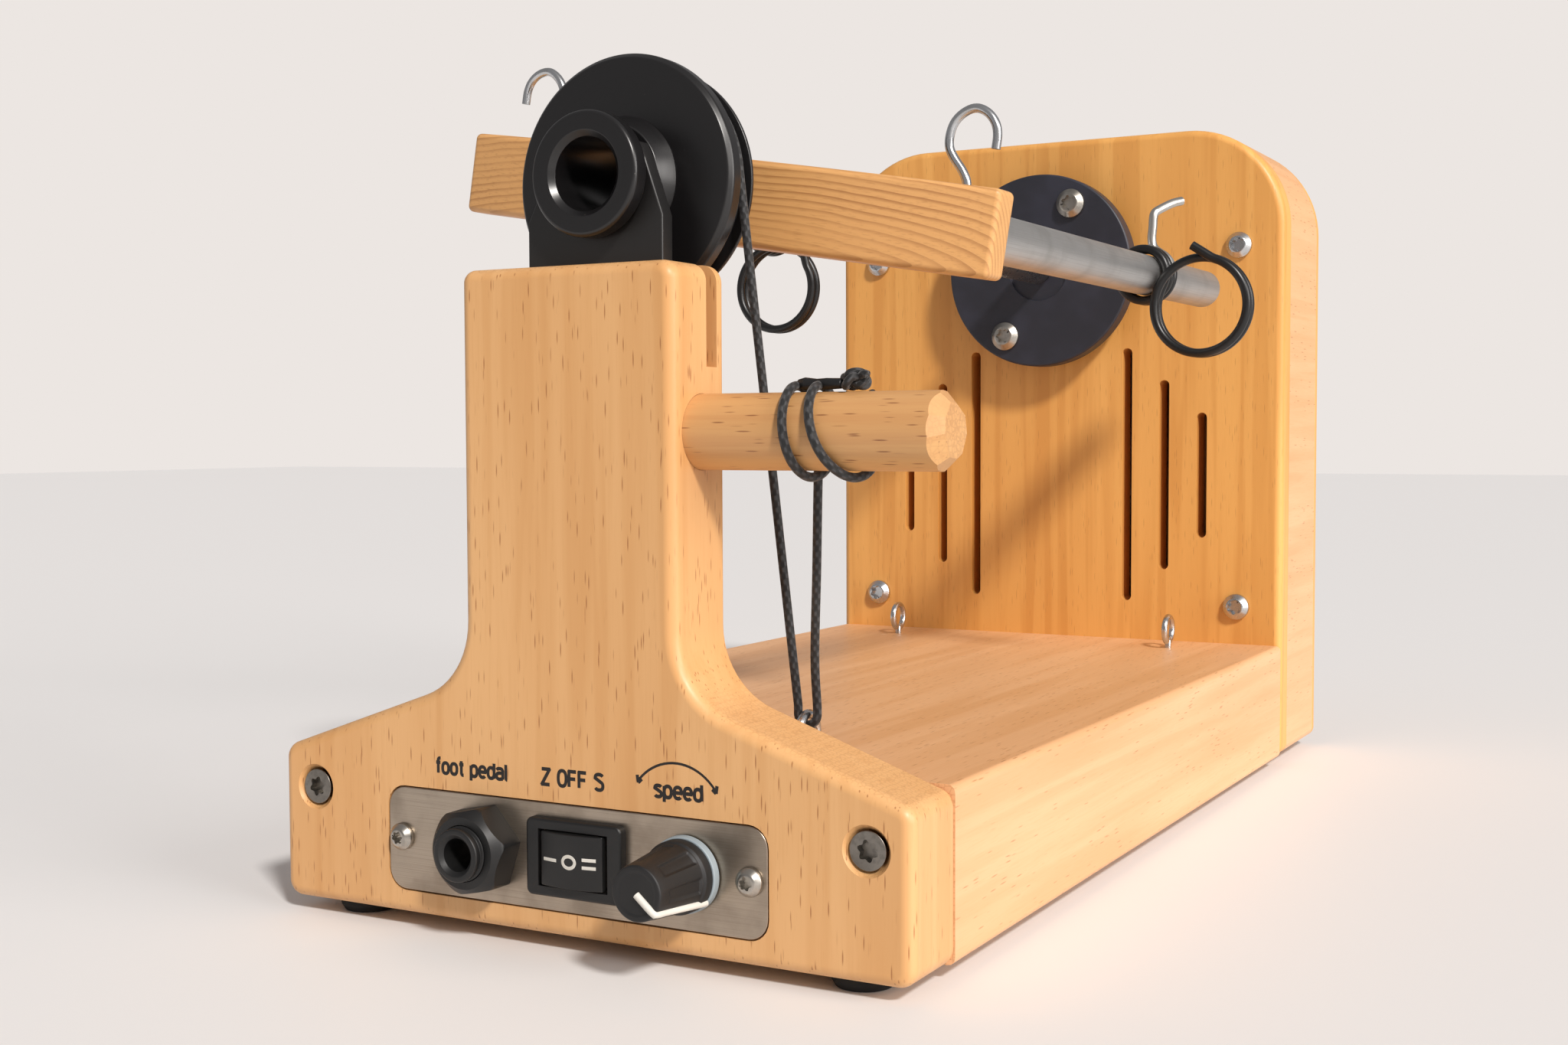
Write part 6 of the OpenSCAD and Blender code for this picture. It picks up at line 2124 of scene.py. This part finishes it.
@dataclass
class BrakeCord(Section):
    """The elastic cord over the flyer's pulley, its eyes and its ferrule."""

    eye_x: float = 36.5
    eye_r: float = 3.6
    eye_wire_r: float = 0.9
    rear_eye_x: float = 43.0
    rear_eye_y: float = 95.4
    eye_z: float = 40.8

    def line(self) -> list[Point3]:
        """Gives the cord's line from its left end to the back of the peg."""
        y, top, clear = LAYOUT.cord_y, LAYOUT.axis_z, LAYOUT.cord_gap + LAYOUT.cord_r
        r, hitch_r = LAYOUT.groove_r + clear, self.eye_wire_r + clear
        hitch_z = self.eye_z + self.eye_r
        low = hitch_z + 1.5
        inner, outer = self.eye_x - hitch_r, self.eye_x + hitch_r
        # The angle at which the straight run leaves the pulley's groove
        far = math.hypot(inner, low - top)
        leave = math.degrees(math.atan2(low - top, inner) + math.acos(r / far))
        hitch, over = [], []
        for a in range(180, 361, 6):
            x, z = polar(hitch_r, a, (self.eye_x, hitch_z))
            hitch.append((x, y, z))
        for i in range(61):
            x, z = polar(r, 180 - leave - i * (180 - 2 * leave) / 60, (0, top))
            over.append((x, y, z))
        left = [(-p[0], p[1], p[2]) for p in reversed(hitch)]
        line = [(-outer, y, hitch_z + 14), (-outer, y, low), *left, (-inner, y, low), *over]
        line += [(inner, y, low), *hitch, (outer, y, low)]
        x, z, base = LAYOUT.cord_x, LAYOUT.peg_z, LAYOUT.base_top_z
        behind = LAYOUT.peg_y + LAYOUT.peg_r + clear
        rise = [
            (outer, y, low), (x - 9.6, y - 1.6, base + 20), (x - 7.6, y - 4.6, base + 36),
            (x - 5.9, behind + 2, z - 11), (x - 5.4, behind + 1.5, z - 4),
            (x - 5.1, behind + 1.75, z + 1),
        ]
        return line + flow(rise, 2.0)[1:]

    def build(self) -> None:
        """Runs the cord, bends its eyes and dresses its ferrule."""
        self.shop.wire(
            "brake_cord_elastic", [self.line()], LAYOUT.cord_r, Palette.cord, Body.STAND,
            "brake_cord",
        )
        self.shop.recut("cord_ferrule", 0.35, "cord_ferrule_crimped", Palette.moulded)
        base = LAYOUT.base_top_z
        for node, far, y in (
            ("front_cord_eyes", self.eye_x, LAYOUT.cord_y),
            ("rear_cord_eyes", self.rear_eye_x, self.rear_eye_y),
        ):
            paths = []
            for x in (-far, far):
                shank = [(x, y, base - 7), (x, y, base + 0.3)]
                ring = [polar(self.eye_r, a - 90, (y, self.eye_z)) for a in range(0, 337, 6)]
                paths.append(shank + [(x, u, v) for u, v in ring])
            self.shop.wire(
                node + "_wire", paths, self.eye_wire_r, Palette.zinc, Body.STAND, node, 14
            )


@dataclass
class Inside(Section):
    """The fork that carries the flyer, and what the closed base holds."""

    fork_left: float = -13.9
    fork_more: float = 1.6

    def build(self) -> None:
        """Dresses the fork, the controller and the leads."""
        fork = self.shop.copy("bearing_fork", 0.4, "bearing_fork_milled")
        # In the photograph the fork reaches further to the left than its slot is wide
        for vertex in fork.data.vertices:
            if vertex.co.x / MM < self.fork_left:
                vertex.co.x -= self.fork_more * MM
        self.shop.finish(fork, Palette.fork, Body.STAND, "bearing_fork")
        self.shop.dress(Palette.board_green, "controller_board")
        self.shop.dress(Palette.nylon, "board_standoffs")
        self.shop.dress(Palette.lead, "inner_leads")


# --------------------------------------------------------------------------------------------
# Studio
# --------------------------------------------------------------------------------------------


@dataclass
class Studio:
    """Camera, lamps, world and floor."""

    place: Point3 = (198.46, -418.55, 97.47)
    yaw: float = 28.75
    pitch: float = 2.76
    roll: float = -0.21
    lens: float = 41.9
    floor_half: float = 4.0
    floor_colour: str = "#edecec"
    sky_colour: str = "#ece6e2"
    fill_colour: str = "#f1eeee"
    fill: float = 0.34

    def camera(self) -> None:
        """Sets the camera where the photograph was taken from."""
        yaw, pitch, roll = (math.radians(a) for a in (self.yaw, self.pitch, self.roll))
        ahead = Vector(
            (-math.sin(yaw) * math.cos(pitch), math.cos(yaw) * math.cos(pitch), -math.sin(pitch))
        )
        level = Vector((math.cos(yaw), math.sin(yaw), 0))
        lifted = level.cross(ahead)
        right = math.cos(roll) * level + math.sin(roll) * lifted
        up = -math.sin(roll) * level + math.cos(roll) * lifted
        data = bpy.data.cameras.new("camera")
        data.lens = self.lens
        data.sensor_width = 36
        data.sensor_fit = "HORIZONTAL"
        data.clip_start = 0.01
        eye = show("camera", data)
        turn = Matrix((right, up, -ahead)).transposed().to_4x4()
        at = Vector(self.place) - Vector((ORIGIN_X, 0, 0))
        eye.matrix_world = Matrix.Translation(at * MM) @ turn
        bpy.context.scene.camera = eye

    def lamp(self, name: str, way: Point3, strength: float, softness: float, tint: str) -> None:
        """Shines a broad, distant lamp on the spinner.

        Args:
            name: The lamp's name.
            way: The direction from the spinner to the lamp.
            strength: Its power in watts per square metre.
            softness: How wide it looks from the spinner, in degrees.
            tint: Its colour.
        """
        data = bpy.data.lights.new(name, "SUN")
        data.angle = math.radians(softness)
        data.energy = strength
        data.color = linear(tint)[:3]
        show(name, data).matrix_world = Vector(way).to_track_quat("Z", "Y").to_matrix().to_4x4()

    def floor(self) -> None:
        """Lays the pale floor."""
        mesh, far = bpy.data.meshes.new("floor"), self.floor_half
        corners = [(-far, -far, 0), (far, -far, 0), (far, far, 0), (-far, far, 0)]
        mesh.from_pydata(corners, [], [(0, 1, 2, 3)])
        material = bpy.data.materials.new("pale_floor")
        material.use_nodes = True
        paint = {
            "Base Color": linear(self.floor_colour), "Roughness": 0.55,
            "Specular IOR Level": 0.25,
        }
        feed(material.node_tree, material.node_tree.nodes["Principled BSDF"], paint)
        mesh.materials.append(material)
        floor = show("floor", mesh)

    def world(self) -> None:
        """Lights the room evenly and shows a pale wall to the camera."""
        world = bpy.data.worlds.new("room")
        bpy.context.scene.world = world
        world.use_nodes = True
        tree = world.node_tree
        tree.nodes.clear()
        rays = add_node(tree, "ShaderNodeLightPath").outputs
        seen = {0: rays["Is Camera Ray"], 1: rays["Is Transmission Ray"]}
        seen = add_node(tree, "ShaderNodeMath", seen, operation="MAXIMUM").outputs[0]
        lit, wall = (
            add_node(tree, "ShaderNodeBackground", {"Color": linear(code), "Strength": power})
            for code, power in ((self.fill_colour, self.fill), (self.sky_colour, 1.0))
        )
        mixed = {0: seen, 1: lit.outputs[0], 2: wall.outputs[0]}
        mixed = add_node(tree, "ShaderNodeMixShader", mixed).outputs[0]
        add_node(tree, "ShaderNodeOutputWorld", {"Surface": mixed})

    def build(self) -> None:
        """Sets up the whole studio."""
        self.camera()
        self.lamp("key", (0.615, -0.48, 0.625), 2.75, 7.0, "#fffaf5")
        self.lamp("side", (1.0, -0.1, 0.3), 1.7, 35.0, "#fffaf6")
        self.floor()
        self.world()
        bpy.context.scene.view_settings.view_transform = "Standard"


def main() -> None:
    """Loads the frame, sets up the studio and builds each sub-assembly in order."""
    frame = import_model()
    Studio().build()
    shop = Workshop(frame)
    for section in (
        BrakeCord, TensionPeg, Stand, MotorBox, Controls, Inside, Flyer, Guides, Drive
    ):
        LOG.info("Building %s", section.__name__)
        section(shop).build()


if __name__ == "__main__":
    main()
